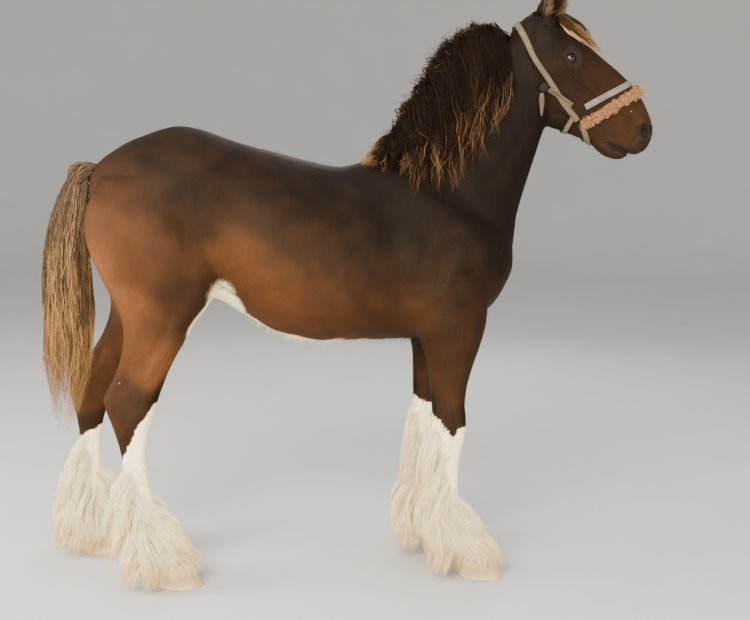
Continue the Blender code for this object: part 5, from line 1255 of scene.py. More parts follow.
def stocking_hair(draw, ground, pair, side):
    """Finer hair all round the lower leg, short on the cannon and longer toward the coronet."""
    top = FEATHER_TOPS[leg_name(pair, side)] + 0.05

    def density(points):
        z = points[:, 2]
        fore, right, _ = leg_place(points)
        own = (fore == (pair == "fore")) & (right == (side < 0))
        return own * (z > CORONET + 0.002) * (z < top) * (1.0 + 3.0 * (1 - ease_in(z, 0.1, 0.22)))

    roots, normals = scatter(draw, ground, STOCKING_HAIRS, density)
    _, _, forward = leg_place(roots)
    length = np.interp(roots[:, 2], (0.08, 0.13, 0.25, 0.4, 0.62), (0.066, 0.078, 0.056, 0.034, 0.024))
    length = length * (1 - 0.35 * ease_in(forward, 0.2, 0.9) * ease_in(roots[:, 2], 0.12, 0.22))
    lift = (np.interp(roots[:, 2], (0.08, 0.16, 0.3), (0.46, 0.34, 0.16))
            * (1 - 0.3 * ease_in(forward, 0.2, 0.9)))
    lie = coat_lie(roots) + np.column_stack([-0.22 * (1 - ease_in(forward, -0.2, 0.6)),
                                             0 * forward, 0 * forward])
    return tufts(draw, roots, normals, lie, length, 0.0021, 4, lift=lift, sink=0.002, bend=0.55)


def scatter(draw, ground, count, density, finer=None):
    """Places on the ground drawn in proportion to area and density, with their normals."""
    triangles = np.array([face[:3] for face in ground.faces]
                         + [(face[0], face[2], face[3]) for face in ground.faces if len(face) == 4])
    a, b, c = (ground.points[triangles[:, i]] for i in range(3))
    normal = np.cross(b - a, c - a)
    area = np.linalg.norm(normal, axis=1)
    weight = area * density((a + b + c) / 3)
    if finer:
        weight = weight * finer((a + b + c) / 3, unit(normal))
    pick = draw.choice(len(area), count, p=weight / weight.sum())
    u, v = draw.uniform(0, 1, (2, count))
    over = u + v > 1
    u, v = np.where(over, 1 - u, u)[:, None], np.where(over, 1 - v, v)[:, None]
    return a[pick] + u * (b - a)[pick] + v * (c - a)[pick], unit(normal[pick])


def coat_lie(points):
    """The way the hair lies: back and down on the body, down the legs and down the face."""
    x, _, z = points.T
    back = np.column_stack([np.full(len(x), -0.85), np.zeros(len(x)), np.full(len(x), -0.5)])
    down = np.column_stack([np.full(len(x), -0.1), np.zeros(len(x)), np.full(len(x), -1.0)])
    neck = np.column_stack([np.full(len(x), -0.35), np.zeros(len(x)), np.full(len(x), -1.0)])
    leg = (1 - ease_in(z, 0.85, 1.1))[:, None]
    on_neck = (ease_in(x, 0.3, 0.55) * ease_in(z, 1.2, 1.5))[:, None]
    on_head = ease_in(x, 0.74, 0.82)[:, None] * ease_in(z, 1.5, 1.6)[:, None]
    lie = back * (1 - leg) + down * leg
    lie = lie * (1 - on_neck) + neck * on_neck
    return unit(lie * (1 - on_head) + FACE_DOWN * on_head)


def coat_density(points, normals):
    """Where the short coat breaks the outline, seen from the side, the front and the rear."""
    x, _, z = points.T
    ridge = 1 - np.abs(normals[:, 1])
    flank = (np.abs(normals[:, 1]) > 0.97) * 0.1
    head = ease_in(x, 0.74, 0.8) * ease_in(z, 1.55, 1.62)
    return ((z > 0.5) * (ridge ** 2 * (1 + 1.5 * head) + flank)
            * (1 - 0.6 * ease_in(z, 1.5, 1.6) * (1 - head)))


def make_coat_tufts(ground, name, seed, side):
    draw = np.random.default_rng(seed)
    roots, normals = scatter(draw, ground, COAT_TUFTS, lambda p: side * p[:, 1] > 0, coat_density)
    along, front = head_measures(roots)
    on_head = ease_in(roots[:, 0], 0.74, 0.8) * ease_in(roots[:, 2], 1.5, 1.6)
    near_eye = np.min([np.linalg.norm(roots - eye_centre(s), axis=1) for s in (-1, 1)], axis=0)
    keep = (near_eye > 0.036) & (np.hypot((along - NOSTRIL_PLACE[0]) / 0.034,
                                          (front - NOSTRIL_PLACE[1]) / 0.038) > 1.0)
    roots, normals, on_head, along = roots[keep], normals[keep], on_head[keep], along[keep]
    belly = (1 - ease_in(roots[:, 2], 0.93, 1.02)) * (np.abs(roots[:, 0] + 0.15) < 0.45)
    length = 0.013 + 0.017 * belly - 0.006 * on_head - 0.002 * ease_in(along, 0.45, 0.6) * on_head
    batch = tufts(draw, roots, normals, coat_lie(roots), length, 0.0015 - 0.0005 * on_head, 3,
                  lift=0.09 + 0.15 * belly, sink=0.001)
    batch["tone"][:] = 0.5
    return weave_hair(name, [batch], ground, coat_marks_and_painted_light, flatness=0.25)


def make_eyeball(side):
    """A glossy ball with a slight swelling over the iris."""
    centre = eye_centre(side)
    ball = ellipsoid("eyeball", centre, (EYE_RADIUS,) * 3, segments=48, rings=32)
    points = mesh_points(ball.data)
    out = unit(np.array((0.22, side, 0.05)))
    share = ((points - centre) @ out) / EYE_RADIUS
    set_points(ball.data, points + (0.0009 * ease_in(share, 0.8, 0.95))[:, None] * out)
    offset = unit(points - centre)
    across, up = offset @ FACE_DOWN, offset @ np.cross(FACE_DOWN, out) * side
    iris = 1 - ease_in(np.sqrt(1 - np.clip(share, -1, 1) ** 2), 0.66, 0.78)
    pupil = 1 - ease_in(np.hypot(across / 0.42, up / 0.26), 0.8, 1.1)
    facing, nothing = share > 0, np.zeros(len(points))
    paint_marks(ball, "eye", np.column_stack([iris * facing, pupil * facing, nothing, nothing + 1]))
    ball.data.shade_smooth()
    ball.name = "eyeball_" + ("left" if side > 0 else "right")
    return ball


def make_hoof(pair, side):
    """A hoof: a sloping wall from the coronet to a flat sole on the floor."""
    front, rear, y, half = leg_stations(pair, side)[-1][:4]
    heel, toe = rear[0], front[0]
    swing = swing_at(leg_swing(pair, side), 0) - swing_at(leg_swing(pair, side), 0.06)
    heel, toe = heel + swing, toe + swing
    rows = [(0.082, -0.01, -0.006, -0.006), (CORONET, 0.0, 0.002, 0.001), (0.066, 0.006, 0.003, 0.005),
            (0.04, 0.02, 0.001, 0.01), (0.018, 0.034, -0.003, 0.014), (0.004, 0.042, -0.005, 0.016),
            (0.0, 0.039, -0.008, 0.013)]
    rings = []
    turns = 2 * math.pi * np.arange(HOOF_POINTS) / HOOF_POINTS
    for height, ahead, behind, spread in smooth_rows(rows, 3):
        height = max(0.0, height)
        long = (toe + ahead - heel + behind) / 2
        middle = (toe + ahead + heel - behind) / 2
        c = np.sign(np.cos(turns)) * np.abs(np.cos(turns)) ** 0.85
        blunt = np.where(np.cos(turns) > 0, 1.0, 0.82) ** np.abs(np.cos(turns))
        growth = 0.0006 * math.sin(height * 620)
        beside = (half + spread + growth) * np.sin(turns) * blunt
        rings.append(np.column_stack([middle + (long + growth) * c, y + beside,
                                      np.full(HOOF_POINTS, height)]))
    hoof = loft("hoof_wall_" + leg_name(pair, side), rings)
    hoof.data.shade_smooth()
    hoof.data.set_sharp_from_angle(angle=math.radians(45))
    return hoof


def ribbon_prism(name, path, width, near, far):
    """A band along a path in the side view, with one width or one at each point, from y near to y far."""
    path = np.asarray(path, float)
    widths = np.broadcast_to(width, len(path))
    rows = smooth_rows(np.column_stack([path, widths]), 6)
    along = unit(np.gradient(rows[:, :2], axis=0))
    across = np.column_stack([-along[:, 1], along[:, 0]]) * rows[:, 2:3] / 2
    rings = []
    for point, off in zip(rows[:, :2], across):
        a, b = point + off, point - off
        rings.append([(a[0], near, a[1]), (a[0], far, a[1]), (b[0], far, b[1]), (b[0], near, b[1])])
    return loft(name, rings)


def wrap(name, form, path, width, lift, thickness, near=-0.3, far=0.3):
    """A band lying round a form."""
    band = swollen(form, name, lift + thickness)
    combine(band, ribbon_prism(name + "_path", path, width, near, far), "INTERSECT")
    combine(band, swollen(form, name + "_bed", lift), "DIFFERENCE")
    lay_weave(band, path, width)
    return band


def lay_weave(band, path, width):
    """Stores, at each point of a strap, how far across its width it lies, from 0 to 1."""
    rows = smooth_rows(np.column_stack([np.asarray(path, float), np.broadcast_to(width, len(path))]), 6)
    points = mesh_points(band.data)[:, [0, 2]]
    best, across = np.full(len(points), np.inf), np.zeros(len(points))
    for a, b in zip(rows, rows[1:]):
        length = np.linalg.norm(b[:2] - a[:2])
        way = (b[:2] - a[:2]) / length
        off = points - a[:2]
        run = np.clip(off @ way, 0, length)
        beside = way[0] * off[:, 1] - way[1] * off[:, 0]
        far = np.linalg.norm(off - run[:, None] * way, axis=1)
        nearer = far < best
        best = np.where(nearer, far, best)
        across = np.where(nearer, beside / (a[2] + (b[2] - a[2]) * run / length), across)
    spread = np.clip(across + 0.5, 0, 1)
    paint_marks(band, "weave", np.column_stack([spread, spread, spread, np.ones(len(points))]))


def boss(name, form, centre, radius, thickness, side):
    """A round leather button lying on one side of a form."""
    rings = []
    for y in (0.0, side * 0.3):
        rings.append([(centre[0] + radius * math.cos(t), y, centre[1] + radius * math.sin(t))
                      for t in 2 * math.pi * np.arange(32) / 32])
    button = swollen(form, name, thickness)
    combine(button, loft(name + "_round", rings), "INTERSECT")
    combine(button, swollen(form, name + "_bed", 0.0), "DIFFERENCE")
    return button


CROWN_STRAP = [(0.588, 2.18), (0.603, 2.125), (0.624, 2.07), (0.653, 2.01), (0.681, 1.952), (0.741, 1.874),
               (0.797, 1.804), (0.832, 1.766), (0.856, 1.741)]
FLEECE = [(0.874, 1.724), (0.926, 1.755), (1.0, 1.804), (1.075, 1.848), (1.15, 1.893)]
NOSE_STRAP = [(0.88, 1.791), (0.942, 1.827), (1.036, 1.877), (1.1, 1.913)]
CHIN_STRAP = [(0.872, 1.722), (0.892, 1.69), (0.915, 1.64), (0.93, 1.6)]
JAW_STRAP = [(0.836, 1.75), (0.821, 1.716), (0.805, 1.66), (0.792, 1.61)]
HANGING_END = [(0.707, 1.838), (0.708, 1.812), (0.71, 1.785), (0.712, 1.755)]
BUCKLED_END = [(0.732, 1.851), (0.77, 1.832), (0.828, 1.797)]


def finish_strap(obj, node, finish, slot_name):
    obj.data.shade_smooth()
    obj.data.set_sharp_from_angle(angle=math.radians(50))
    dress(obj, finish, slot_name, node)


def make_halter(flesh, finishes):
    """The headcollar: crown and cheek webbing, fleece noseband, nose, chin and jaw straps, and loose ends."""
    form = new_object("halter_form", flesh.data.copy())
    work = bmesh.new()
    work.from_mesh(form.data)
    far = [v for v in work.verts if v.co.x < 0.45 or v.co.z < 1.45]
    bmesh.ops.delete(work, geom=far, context="VERTS")
    bmesh.ops.holes_fill(work, edges=[edge for edge in work.edges if edge.is_boundary], sides=0)
    bmesh.ops.triangulate(work, faces=[face for face in work.faces if len(face.verts) > 4])
    work.to_mesh(form.data)
    work.free()
    divide_finer(form, lambda p: True)
    even_out(form, 1.0 * (mesh_points(form.data)[:, 0] > 0.52), 2)
    narrow = STRAP_WIDTH * 0.9
    for node, path, width, lift, thick, finish, slot_name in (
            ("halter_crown_strap", CROWN_STRAP, STRAP_WIDTH, 0.0006, STRAP_THICKNESS, "webbing", "webbing"),
            ("halter_fleece_noseband", FLEECE, FLEECE_WIDTH, 0.0006, FLEECE_THICKNESS, "fleece", "fleece"),
            ("halter_nose_strap", NOSE_STRAP, STRAP_WIDTH, 0.0006, STRAP_THICKNESS,
             "nose_webbing", "nose_webbing"),
            ("halter_chin_strap", CHIN_STRAP, narrow, 0.001, STRAP_THICKNESS, "webbing", "webbing"),
            ("halter_jaw_strap", JAW_STRAP, narrow, 0.0008, STRAP_THICKNESS, "webbing", "webbing")):
        band = wrap(node.replace("halter_", ""), form, path, width, lift, thick)
        finish_strap(band, node, finishes[finish], slot_name)
    for side, label in ((-1, "right"), (1, "left")):
        near, far = sorted((0.0, side * 0.3))
        button = boss("toggle_" + label, form, TOGGLE_PLACE, TOGGLE_RADIUS, 0.01, side)
        finish_strap(button, "halter_toggle_" + label, finishes["leather"], "leather")
        buckled = wrap("strap_end_" + label, form, BUCKLED_END, narrow * 0.75, 0.0006, 0.0075, near, far)
        finish_strap(buckled, "halter_strap_end_" + label, finishes["folded_webbing"], "webbing")
        loose = wrap("hanging_end_" + label, form, HANGING_END, HANGING_WIDTHS, 0.0006, 0.005, near, far)
        finish_strap(loose, "halter_hanging_end_" + label, finishes["webbing"], "webbing")
    bpy.data.objects.remove(form)


def make_fleece_curls(ground):
    """Short woolly tufts all over the noseband's sleeve."""
    draw = np.random.default_rng(47)
    roots, normals = scatter(draw, ground, FLEECE_CURLS, lambda p: np.ones(len(p)))
    lie = draw.normal(0, 1, (len(roots), 3))
    batch = tufts(draw, roots, normals, lie, 0.0125, 0.0024, 5, lift=1.2, sink=0.001, bend=0.75)
    return weave_hair("fleece_curls", [batch], ground)


def make_lashes_and_whiskers(ground):
    """Lashes along the upper lids and a few stiff hairs about the lips and chin."""
    draw = np.random.default_rng(48)
    batches = []
    for side in (-1, 1):
        centre = eye_centre(side)
        for rim in lid_rim()[3:14]:
            root = centre + rim * 1.02 + np.array((0, side * 0.0195, 0))
            way = unit(np.array((0.35, side * 1.0, 0.1)) + 0.3 * rim / 0.02)
            path = [root, root + way * 0.01, root + way * 0.018 - np.array((0, 0, 0.004))]
            batches.append(lock_of_hair(draw, path, FACE_AHEAD, 3, 0.004, 0.001, 0.0009, 5, wave=0.0006))
    for k in range(WHISKERS):
        along, front = draw.uniform(0.56, 0.65), draw.uniform(-0.15, 0.02)
        side = -1 if k % 2 else 1
        found = ground.hit(in_head(along, front, side * 0.3), (0, -side, 0))
        if found is None:
            continue
        way = unit(np.array((0.4, side * 0.8, -0.7)) + draw.normal(0, 0.2, 3))
        path = [found - way * 0.002, found + way * 0.012, found + way * 0.022 + np.array((0, 0, -0.003))]
        batches.append(lock_of_hair(draw, path, FACE_AHEAD, 1, 0.001, 0.001, 0.0008, 5, wave=0.0005))
    return weave_hair("lashes_and_whiskers", batches, ground)


def make_ear_hair(ground):
    """Soft hair inside the cups of the ears and along their edges."""
    draw = np.random.default_rng(49)
    roots, ways = [], []
    for side in (-1, 1):
        root, up, mouth, across = ear_axes(side)
        for _ in range(EAR_HAIRS):
            share = draw.uniform(0.16, 0.88)
            edge = draw.choice((-1, 1)) * draw.uniform(0.55, 0.98)
            half = np.interp(share, [row[0] for row in EAR], [row[1] for row in EAR])
            place = root + up * share * EAR_LENGTH + across * half * edge
            roots.append(ground.near(place)[0])
            ways.append(up * 0.7 + mouth * 0.55 + across * edge * draw.uniform(-0.9, 1.2))
    roots, ways = np.array(roots), unit(np.array(ways))
    normals = np.array([ground.near(root)[1] for root in roots])
    low = np.array([root[2] for root in roots]) < in_head(*EAR_ROOT)[2] + 0.09
    batch = tufts(draw, roots, normals, ways, np.where(low, 0.042, 0.026), 0.0016, 5, lift=0.55, sink=0.001)
    return weave_hair("ear_hair", [batch], ground, coat_marks_and_painted_light)


class Wiring:
    """Places and joins the nodes of one material or group."""

    def __init__(self, tree):
        self.tree = tree

    def node(self, kind, links=None, **values):
        made = self.tree.nodes.new(kind)
        for key, value in values.items():
            setattr(made, key, value)
        for socket, source in (links or {}).items():
            self.tree.links.new(source, made.inputs[socket])
        return made

    def mix(self, share, a, b, blend="MIX"):
        made = self.tree.nodes.new("ShaderNodeMix")
        made.data_type = "RGBA"
        made.blend_type = blend
        for index, value in ((0, share), (6, a), (7, b)):
            if isinstance(value, bpy.types.NodeSocket):
                self.tree.links.new(value, made.inputs[index])
            elif index == 0:
                made.inputs[0].default_value = value
            else:
                made.inputs[index].default_value = (*value, 1)
        return made.outputs[2]

    def math(self, operation, a, b=0.0, c=0.0, clamp=False):
        made = self.tree.nodes.new("ShaderNodeMath")
        made.operation = operation
        made.use_clamp = clamp
        for index, value in enumerate((a, b, c)):
            if isinstance(value, bpy.types.NodeSocket):
                self.tree.links.new(value, made.inputs[index])
            else:
                made.inputs[index].default_value = value
        return made.outputs[0]

    def rise(self, value, low, high):
        made = self.tree.nodes.new("ShaderNodeMapRange")
        made.interpolation_type = "SMOOTHSTEP"
        made.inputs[1].default_value = low
        made.inputs[2].default_value = high
        self.tree.links.new(value, made.inputs[0])
        return made.outputs[0]

    def paint(self, shader, colour):
        self.tree.links.new(colour, shader.inputs["Base Color"])

    def split(self, colour):
        return self.node("ShaderNodeSeparateColor", {0: colour}).outputs

    def attribute(self, name):
        return self.node("ShaderNodeAttribute", attribute_name=name).outputs["Color"]

    def noise(self, size, stretch=(1, 1, 1), detail=3.0):
        """Uneven values in the object's own space, with features of about one size."""
        place = self.node("ShaderNodeTexCoord").outputs["Object"]
        mapping = self.node("ShaderNodeMapping", {0: place})
        mapping.inputs["Scale"].default_value = [1 / (size * s) for s in stretch]
        found = self.node("ShaderNodeTexNoise", {"Vector": mapping.outputs[0]})
        found.inputs["Scale"].default_value = 1.0
        found.inputs["Detail"].default_value = detail
        found.inputs["Roughness"].default_value = 0.55
        return found.outputs[0]


def group_of(name, inputs, outputs):
    tree = bpy.data.node_groups.new(name, "ShaderNodeTree")
    for socket, kind, value in inputs:
        made = tree.interface.new_socket(name=socket, in_out="INPUT", socket_type=kind)
        made.default_value = value
    for socket, kind in outputs:
        tree.interface.new_socket(name=socket, in_out="OUTPUT", socket_type=kind)
    return tree, tree.nodes.new("NodeGroupInput"), tree.nodes.new("NodeGroupOutput")


def coat_colour_group():
    """The bay coat's colour from its markings, with the painted light and shade that they hold."""
    tree, entry, leave = group_of("Bay coat colour and painted light", [
        ("Marks", "NodeSocketColor", (0, 0, 0, 1)), ("Bare skin and shade", "NodeSocketFloat", 0.0),
        ("Streak", "NodeSocketFloat", 0.5)], [("Colour", "NodeSocketColor")])
    wiring = Wiring(tree)
    white, dark, gold = wiring.split(entry.outputs["Marks"])[:3]
    streak = entry.outputs["Streak"]
    uneven = wiring.noise(0.045, (1, 1, 1.6))
    shift = wiring.math("MULTIPLY_ADD", wiring.math("SUBTRACT", uneven, 0.5), 0.22, dark)
    shift = wiring.math("MULTIPLY_ADD", wiring.math("SUBTRACT", streak, 0.5), 0.16, shift, clamp=True)
    red = wiring.mix(gold, (0.06, 0.022, 0.0072), (0.15, 0.054, 0.019))
    bay = wiring.mix(wiring.rise(shift, 0.0, 0.55), red, (0.0205, 0.0086, 0.0034))
    bay = wiring.mix(wiring.rise(shift, 0.5, 1.0), bay, (0.0045, 0.0023, 0.0013))
    bright = wiring.math("MULTIPLY_ADD", streak, 0.36, 0.82)
    lit = wiring.node("ShaderNodeCombineColor", {0: bright, 1: bright, 2: bright}).outputs[0]
    bay = wiring.mix(1.0, bay, lit, "MULTIPLY")
    # Cream for the white marks, which also paints the rim light down the face
    cream = wiring.mix(streak, (0.91, 0.76, 0.47), (0.98, 0.86, 0.58))
    edge = wiring.math("MULTIPLY", white, wiring.math("MULTIPLY_ADD", streak, 0.5, 0.75))
    coat = wiring.mix(wiring.rise(edge, 0.12, 0.85), bay, cream)
    # The bare skin colour, which also paints the shade round the eye and on the muzzle's end
    coat = wiring.mix(wiring.math("MULTIPLY", entry.outputs["Bare skin and shade"], 0.88), coat, (0.0125, 0.0085, 0.0075))
    tree.links.new(coat, leave.inputs["Colour"])
    return tree


def strand_tone_group():
    """A strand's colour from its root to its tip, with the spread between strands and locks."""
    tree, entry, leave = group_of("Strand tone", [
        ("Strand", "NodeSocketColor", (0.5, 0.5, 0.5, 1)), ("Root", "NodeSocketColor", (0.1, 0.1, 0.1, 1)),
        ("Middle", "NodeSocketColor", (0.1, 0.1, 0.1, 1)), ("Tip", "NodeSocketColor", (0.1, 0.1, 0.1, 1)),
        ("Tip start", "NodeSocketFloat", 0.5), ("Spread", "NodeSocketFloat", 0.5)],
        [("Colour", "NodeSocketColor")])
    wiring = Wiring(tree)
    own, run, lock = wiring.split(entry.outputs["Strand"])[:3]
    both = wiring.math("MULTIPLY_ADD", lock, 0.55, wiring.math("MULTIPLY", own, 0.45))
    start = wiring.mix(wiring.rise(run, 0.02, 0.35), entry.outputs["Root"], entry.outputs["Middle"])
    late = wiring.math("MULTIPLY_ADD", wiring.math("SUBTRACT", both, 0.5), 0.9, run)
    late = wiring.math("SUBTRACT", late, entry.outputs["Tip start"])
    tip = wiring.mix(wiring.rise(late, 0.0, 0.42), start, entry.outputs["Tip"])
    level = wiring.math("MULTIPLY_ADD", wiring.math("SUBTRACT", both, 0.5), entry.outputs["Spread"], 1.0)
    lit = wiring.node("ShaderNodeCombineColor", {0: level, 1: level, 2: level}).outputs[0]
    tree.links.new(wiring.mix(1.0, tip, lit, "MULTIPLY"), leave.inputs["Colour"])
    return tree


def grain_group():
    """Fine unevenness as a height, stretched along the lie of the hair or the weave."""
    tree, entry, leave = group_of("Fine grain", [
        ("Coarse", "NodeSocketFloat", 0.5), ("Fine", "NodeSocketFloat", 0.5),
        ("Share", "NodeSocketFloat", 0.5)], [("Height", "NodeSocketFloat")])
    wiring = Wiring(tree)
    low = wiring.math("MULTIPLY", entry.outputs["Coarse"],
                      wiring.math("SUBTRACT", 1.0, entry.outputs["Share"]))
    high = wiring.math("MULTIPLY", entry.outputs["Fine"], entry.outputs["Share"])
    tree.links.new(wiring.math("ADD", low, high), leave.inputs["Height"])
    return tree


def new_material(name, roughness, gloss, tint=(1, 1, 1, 1)):
    made = bpy.data.materials.new(name)
    made.use_nodes = True
    shader = made.node_tree.nodes["Principled BSDF"]
    shader.inputs["Roughness"].default_value = roughness
    shader.inputs["Specular IOR Level"].default_value = gloss
    shader.inputs["Specular Tint"].default_value = tint
    return made, Wiring(made.node_tree), shader


def use_group(wiring, tree, links, **values):
    made = wiring.node("ShaderNodeGroup", node_tree=tree)
    for socket, source in links.items():
        wiring.tree.links.new(source, made.inputs[socket])
    for socket, value in values.items():
        made.inputs[socket.replace("_", " ")].default_value = value
    return made.outputs[0]


def use_coat(wiring, groups, streak):
    """The bay coat's colour at the marks stored on a mesh."""
    marks = wiring.node("ShaderNodeAttribute", attribute_name="marks")
    return use_group(wiring, groups["coat"], {"Marks": marks.outputs["Color"], "Bare skin and shade": marks.outputs["Alpha"],
                                              "Streak": streak})


def bump(wiring, shader, groups, coarse, fine, share, strength, distance):
    height = use_group(wiring, groups["grain"], {"Coarse": coarse, "Fine": fine}, Share=share)
    made = wiring.node("ShaderNodeBump", {"Height": height})
    made.inputs["Strength"].default_value = strength
    made.inputs["Distance"].default_value = distance
    wiring.tree.links.new(made.outputs[0], shader.inputs["Normal"])


def skin_material(groups):
    made, wiring, shader = new_material("Short bay coat", 0.62, 0.1, (1.0, 0.86, 0.7, 1))
    fine = wiring.noise(0.003, (1, 1, 5.0), 2.0)
    streak = wiring.rise(wiring.noise(0.0065, (1.2, 1.2, 5.0), 3.0), 0.25, 0.75)
    wiring.paint(shader, use_coat(wiring, groups, streak))
    bump(wiring, shader, groups, wiring.noise(0.02, (1, 1, 2.5)), fine, 0.45, 0.35, 0.003)
    return made


def tuft_material(groups):
    made, wiring, shader = new_material("Coat tufts", 0.6, 0.06)
    own = wiring.split(wiring.attribute("strand"))[0]
    wiring.paint(shader, use_coat(wiring, groups, own))
    return made


# Finishes of the hair: name, colour of root, middle and tip, where the tip starts, spread, gloss, roughness
HAIR_FINISHES = {
    "mane": ("Mane hair", (0.005, 0.0028, 0.0018), (0.0105, 0.0056, 0.0032), (0.175, 0.092, 0.042),
             0.82, 1.1, 0.06),
    "crest": ("Crest hair", (0.005, 0.003, 0.002), (0.012, 0.007, 0.0044), (0.14, 0.078, 0.038),
              0.78, 1.0, 0.06),
    "withers": ("Blond end of the mane", (0.012, 0.007, 0.004), (0.035, 0.019, 0.009), (0.28, 0.16, 0.068),
                0.6, 1.0, 0.08),
    "ears": ("Ear hair", (0.02, 0.012, 0.008), (0.07, 0.042, 0.026), (0.18, 0.12, 0.075), 0.55, 1.0, 0.06),
    "forelock": ("Forelock hair", (0.011, 0.006, 0.0036), (0.05, 0.024, 0.01), (0.42, 0.225, 0.085),
                 0.58, 1.1, 0.1),
    # Pale hair of the forelock's edge, which also paints the rim light down the face
    "forelock_edge_and_rim_light": ("Pale forelock edge and painted rim light", (0.05, 0.026, 0.012), (0.4, 0.235, 0.09), (0.78, 0.62, 0.36),
                      0.5, 1.1),
    "tail": ("Tail hair", (0.1, 0.064, 0.04), (0.085, 0.05, 0.026), (0.3, 0.155, 0.056), 0.5, 1.3),
    "whiskers": ("Whiskers", (0.02, 0.014, 0.01), (0.03, 0.02, 0.014), (0.1, 0.07, 0.05), 0.7, 0.3),
    "curls": ("Fleece wool", (0.15, 0.062, 0.026), (0.33, 0.15, 0.068), (0.5, 0.255, 0.125),
              0.5, 0.9, 0.14, 0.9),
}


def strand_material(groups, name, root, middle, tip, start, spread, gloss=0.14, roughness=0.55):
    made, wiring, shader = new_material(name, roughness, gloss, (1.0, 0.86, 0.68, 1))
    colour = use_group(wiring, groups["strand"], {"Strand": wiring.attribute("strand")}, Root=(*root, 1),
                       Middle=(*middle, 1), Tip=(*tip, 1), Tip_start=start, Spread=spread)
    wiring.paint(shader, colour)
    return made


def feather_material(groups):
    """Cream hair, tan toward the floor, that keeps the bay where it grows from the bay."""
    made, wiring, shader = new_material("Feather hair", 0.55, 0.2)
    strand = wiring.attribute("strand")
    cream = use_group(wiring, groups["strand"], {"Strand": strand}, Root=(0.93, 0.79, 0.49, 1),
                      Middle=(0.98, 0.84, 0.54, 1), Tip=(0.78, 0.54, 0.25, 1), Tip_start=0.58, Spread=0.3)
    height = wiring.split(wiring.node("ShaderNodeTexCoord").outputs["Object"])[2]
    low = wiring.math("SUBTRACT", 1.0, wiring.rise(height, 0.01, 0.17))
    cream = wiring.mix(wiring.math("MULTIPLY", low, 0.8), cream, (0.74, 0.5, 0.22))
    bay = use_coat(wiring, groups, wiring.split(strand)[0])
    white = wiring.rise(wiring.split(wiring.attribute("marks"))[0], 0.3, 0.6)
    wiring.paint(shader, wiring.mix(white, bay, cream))
    return made


def eye_material():
    made, wiring, shader = new_material("Wet eye", 0.05, 0.3)
    iris, pupil = wiring.split(wiring.attribute("eye"))[:2]
    brown = wiring.mix(wiring.noise(0.004, (1, 1, 1)), (0.02, 0.009, 0.004), (0.008, 0.004, 0.0025))
    white = wiring.mix(iris, (0.012, 0.007, 0.005), brown)
    colour = wiring.mix(pupil, white, (0.003, 0.003, 0.004))
    wiring.paint(shader, colour)
    return made


def hoof_material(groups):
    made, wiring, shader = new_material("Amber horn", 0.42, 0.4)
    rings = wiring.noise(0.012, (6, 6, 0.5), 3.0)
    streak = wiring.noise(0.005, (1, 1, 8), 3.0)
    colour = wiring.mix(wiring.rise(rings, 0.3, 0.7), (0.52, 0.33, 0.16), (0.72, 0.52, 0.28))
    colour = wiring.mix(wiring.rise(streak, 0.62, 0.78), colour, (0.28, 0.17, 0.09))
    wiring.paint(shader, colour)
    bump(wiring, shader, groups, rings, streak, 0.4, 0.5, 0.002)
    return made


# Finishes of the straps: name, colour, dirt, roughness, where a darker line starts and ends,
# as shares of the way from the strap's middle to its edge
WEB_FINISHES = {
    "webbing": ("Beige webbing", (0.135, 0.098, 0.058), (0.085, 0.061, 0.036)),
    "nose_webbing": ("Grey webbing", (0.23, 0.195, 0.19), (0.15, 0.125, 0.122), 0.8,
                     (0.34, 0.42, 0.56, 0.66)),
    "folded_webbing": ("Folded webbing", (0.135, 0.098, 0.058), (0.085, 0.061, 0.036), 0.8,
                       (-1.0, -0.5, 0.25, 0.45)),
    "fleece": ("Fleece backing", (0.22, 0.095, 0.042), (0.16, 0.068, 0.028), 0.8, (1.1, 1.2, 1.3, 1.4)),
    "leather": ("Dark leather", (0.04, 0.015, 0.009), (0.02, 0.009, 0.006), 0.45),
}


def web_material(groups, name, colour, dark, roughness=0.8, line=(0.66, 0.86, 1.1, 1.2)):
    """Woven webbing: ribs in the object's own space, soft dirt, and darker lines or edges along the strap."""
    made, wiring, shader = new_material(name, roughness, 0.2)
    ribs = wiring.noise(0.0026, (1, 1, 1), 1.0)
    wear = wiring.noise(0.03, (1, 1, 1), 4.0)
    mixed = wiring.mix(wiring.rise(wear, 0.35, 0.75), colour, dark)
    mixed = wiring.mix(wiring.math("MULTIPLY", ribs, 0.45), mixed, [0.4 * c for c in colour])
    across = wiring.math("SUBTRACT", wiring.split(wiring.attribute("weave"))[0], 0.5)
    aside = wiring.math("MULTIPLY", wiring.math("ABSOLUTE", across), 2.0)
    lined = wiring.math("SUBTRACT", wiring.rise(aside, *line[:2]), wiring.rise(aside, *line[2:]))
    mixed = wiring.mix(wiring.math("MULTIPLY", lined, 0.72), mixed, [0.3 * c for c in dark])
    wiring.paint(shader, mixed)
    bump(wiring, shader, groups, wear, ribs, 0.8, 0.6, 0.0015)
    return made


def floor_material():
    made, wiring, shader = new_material("Pale floor", 0.85, 0.2)
    cast = wiring.mix(wiring.noise(0.6, (1, 1, 1), 5.0), (0.52, 0.51, 0.49), (0.57, 0.56, 0.54))
    wiring.paint(shader, cast)
    return made


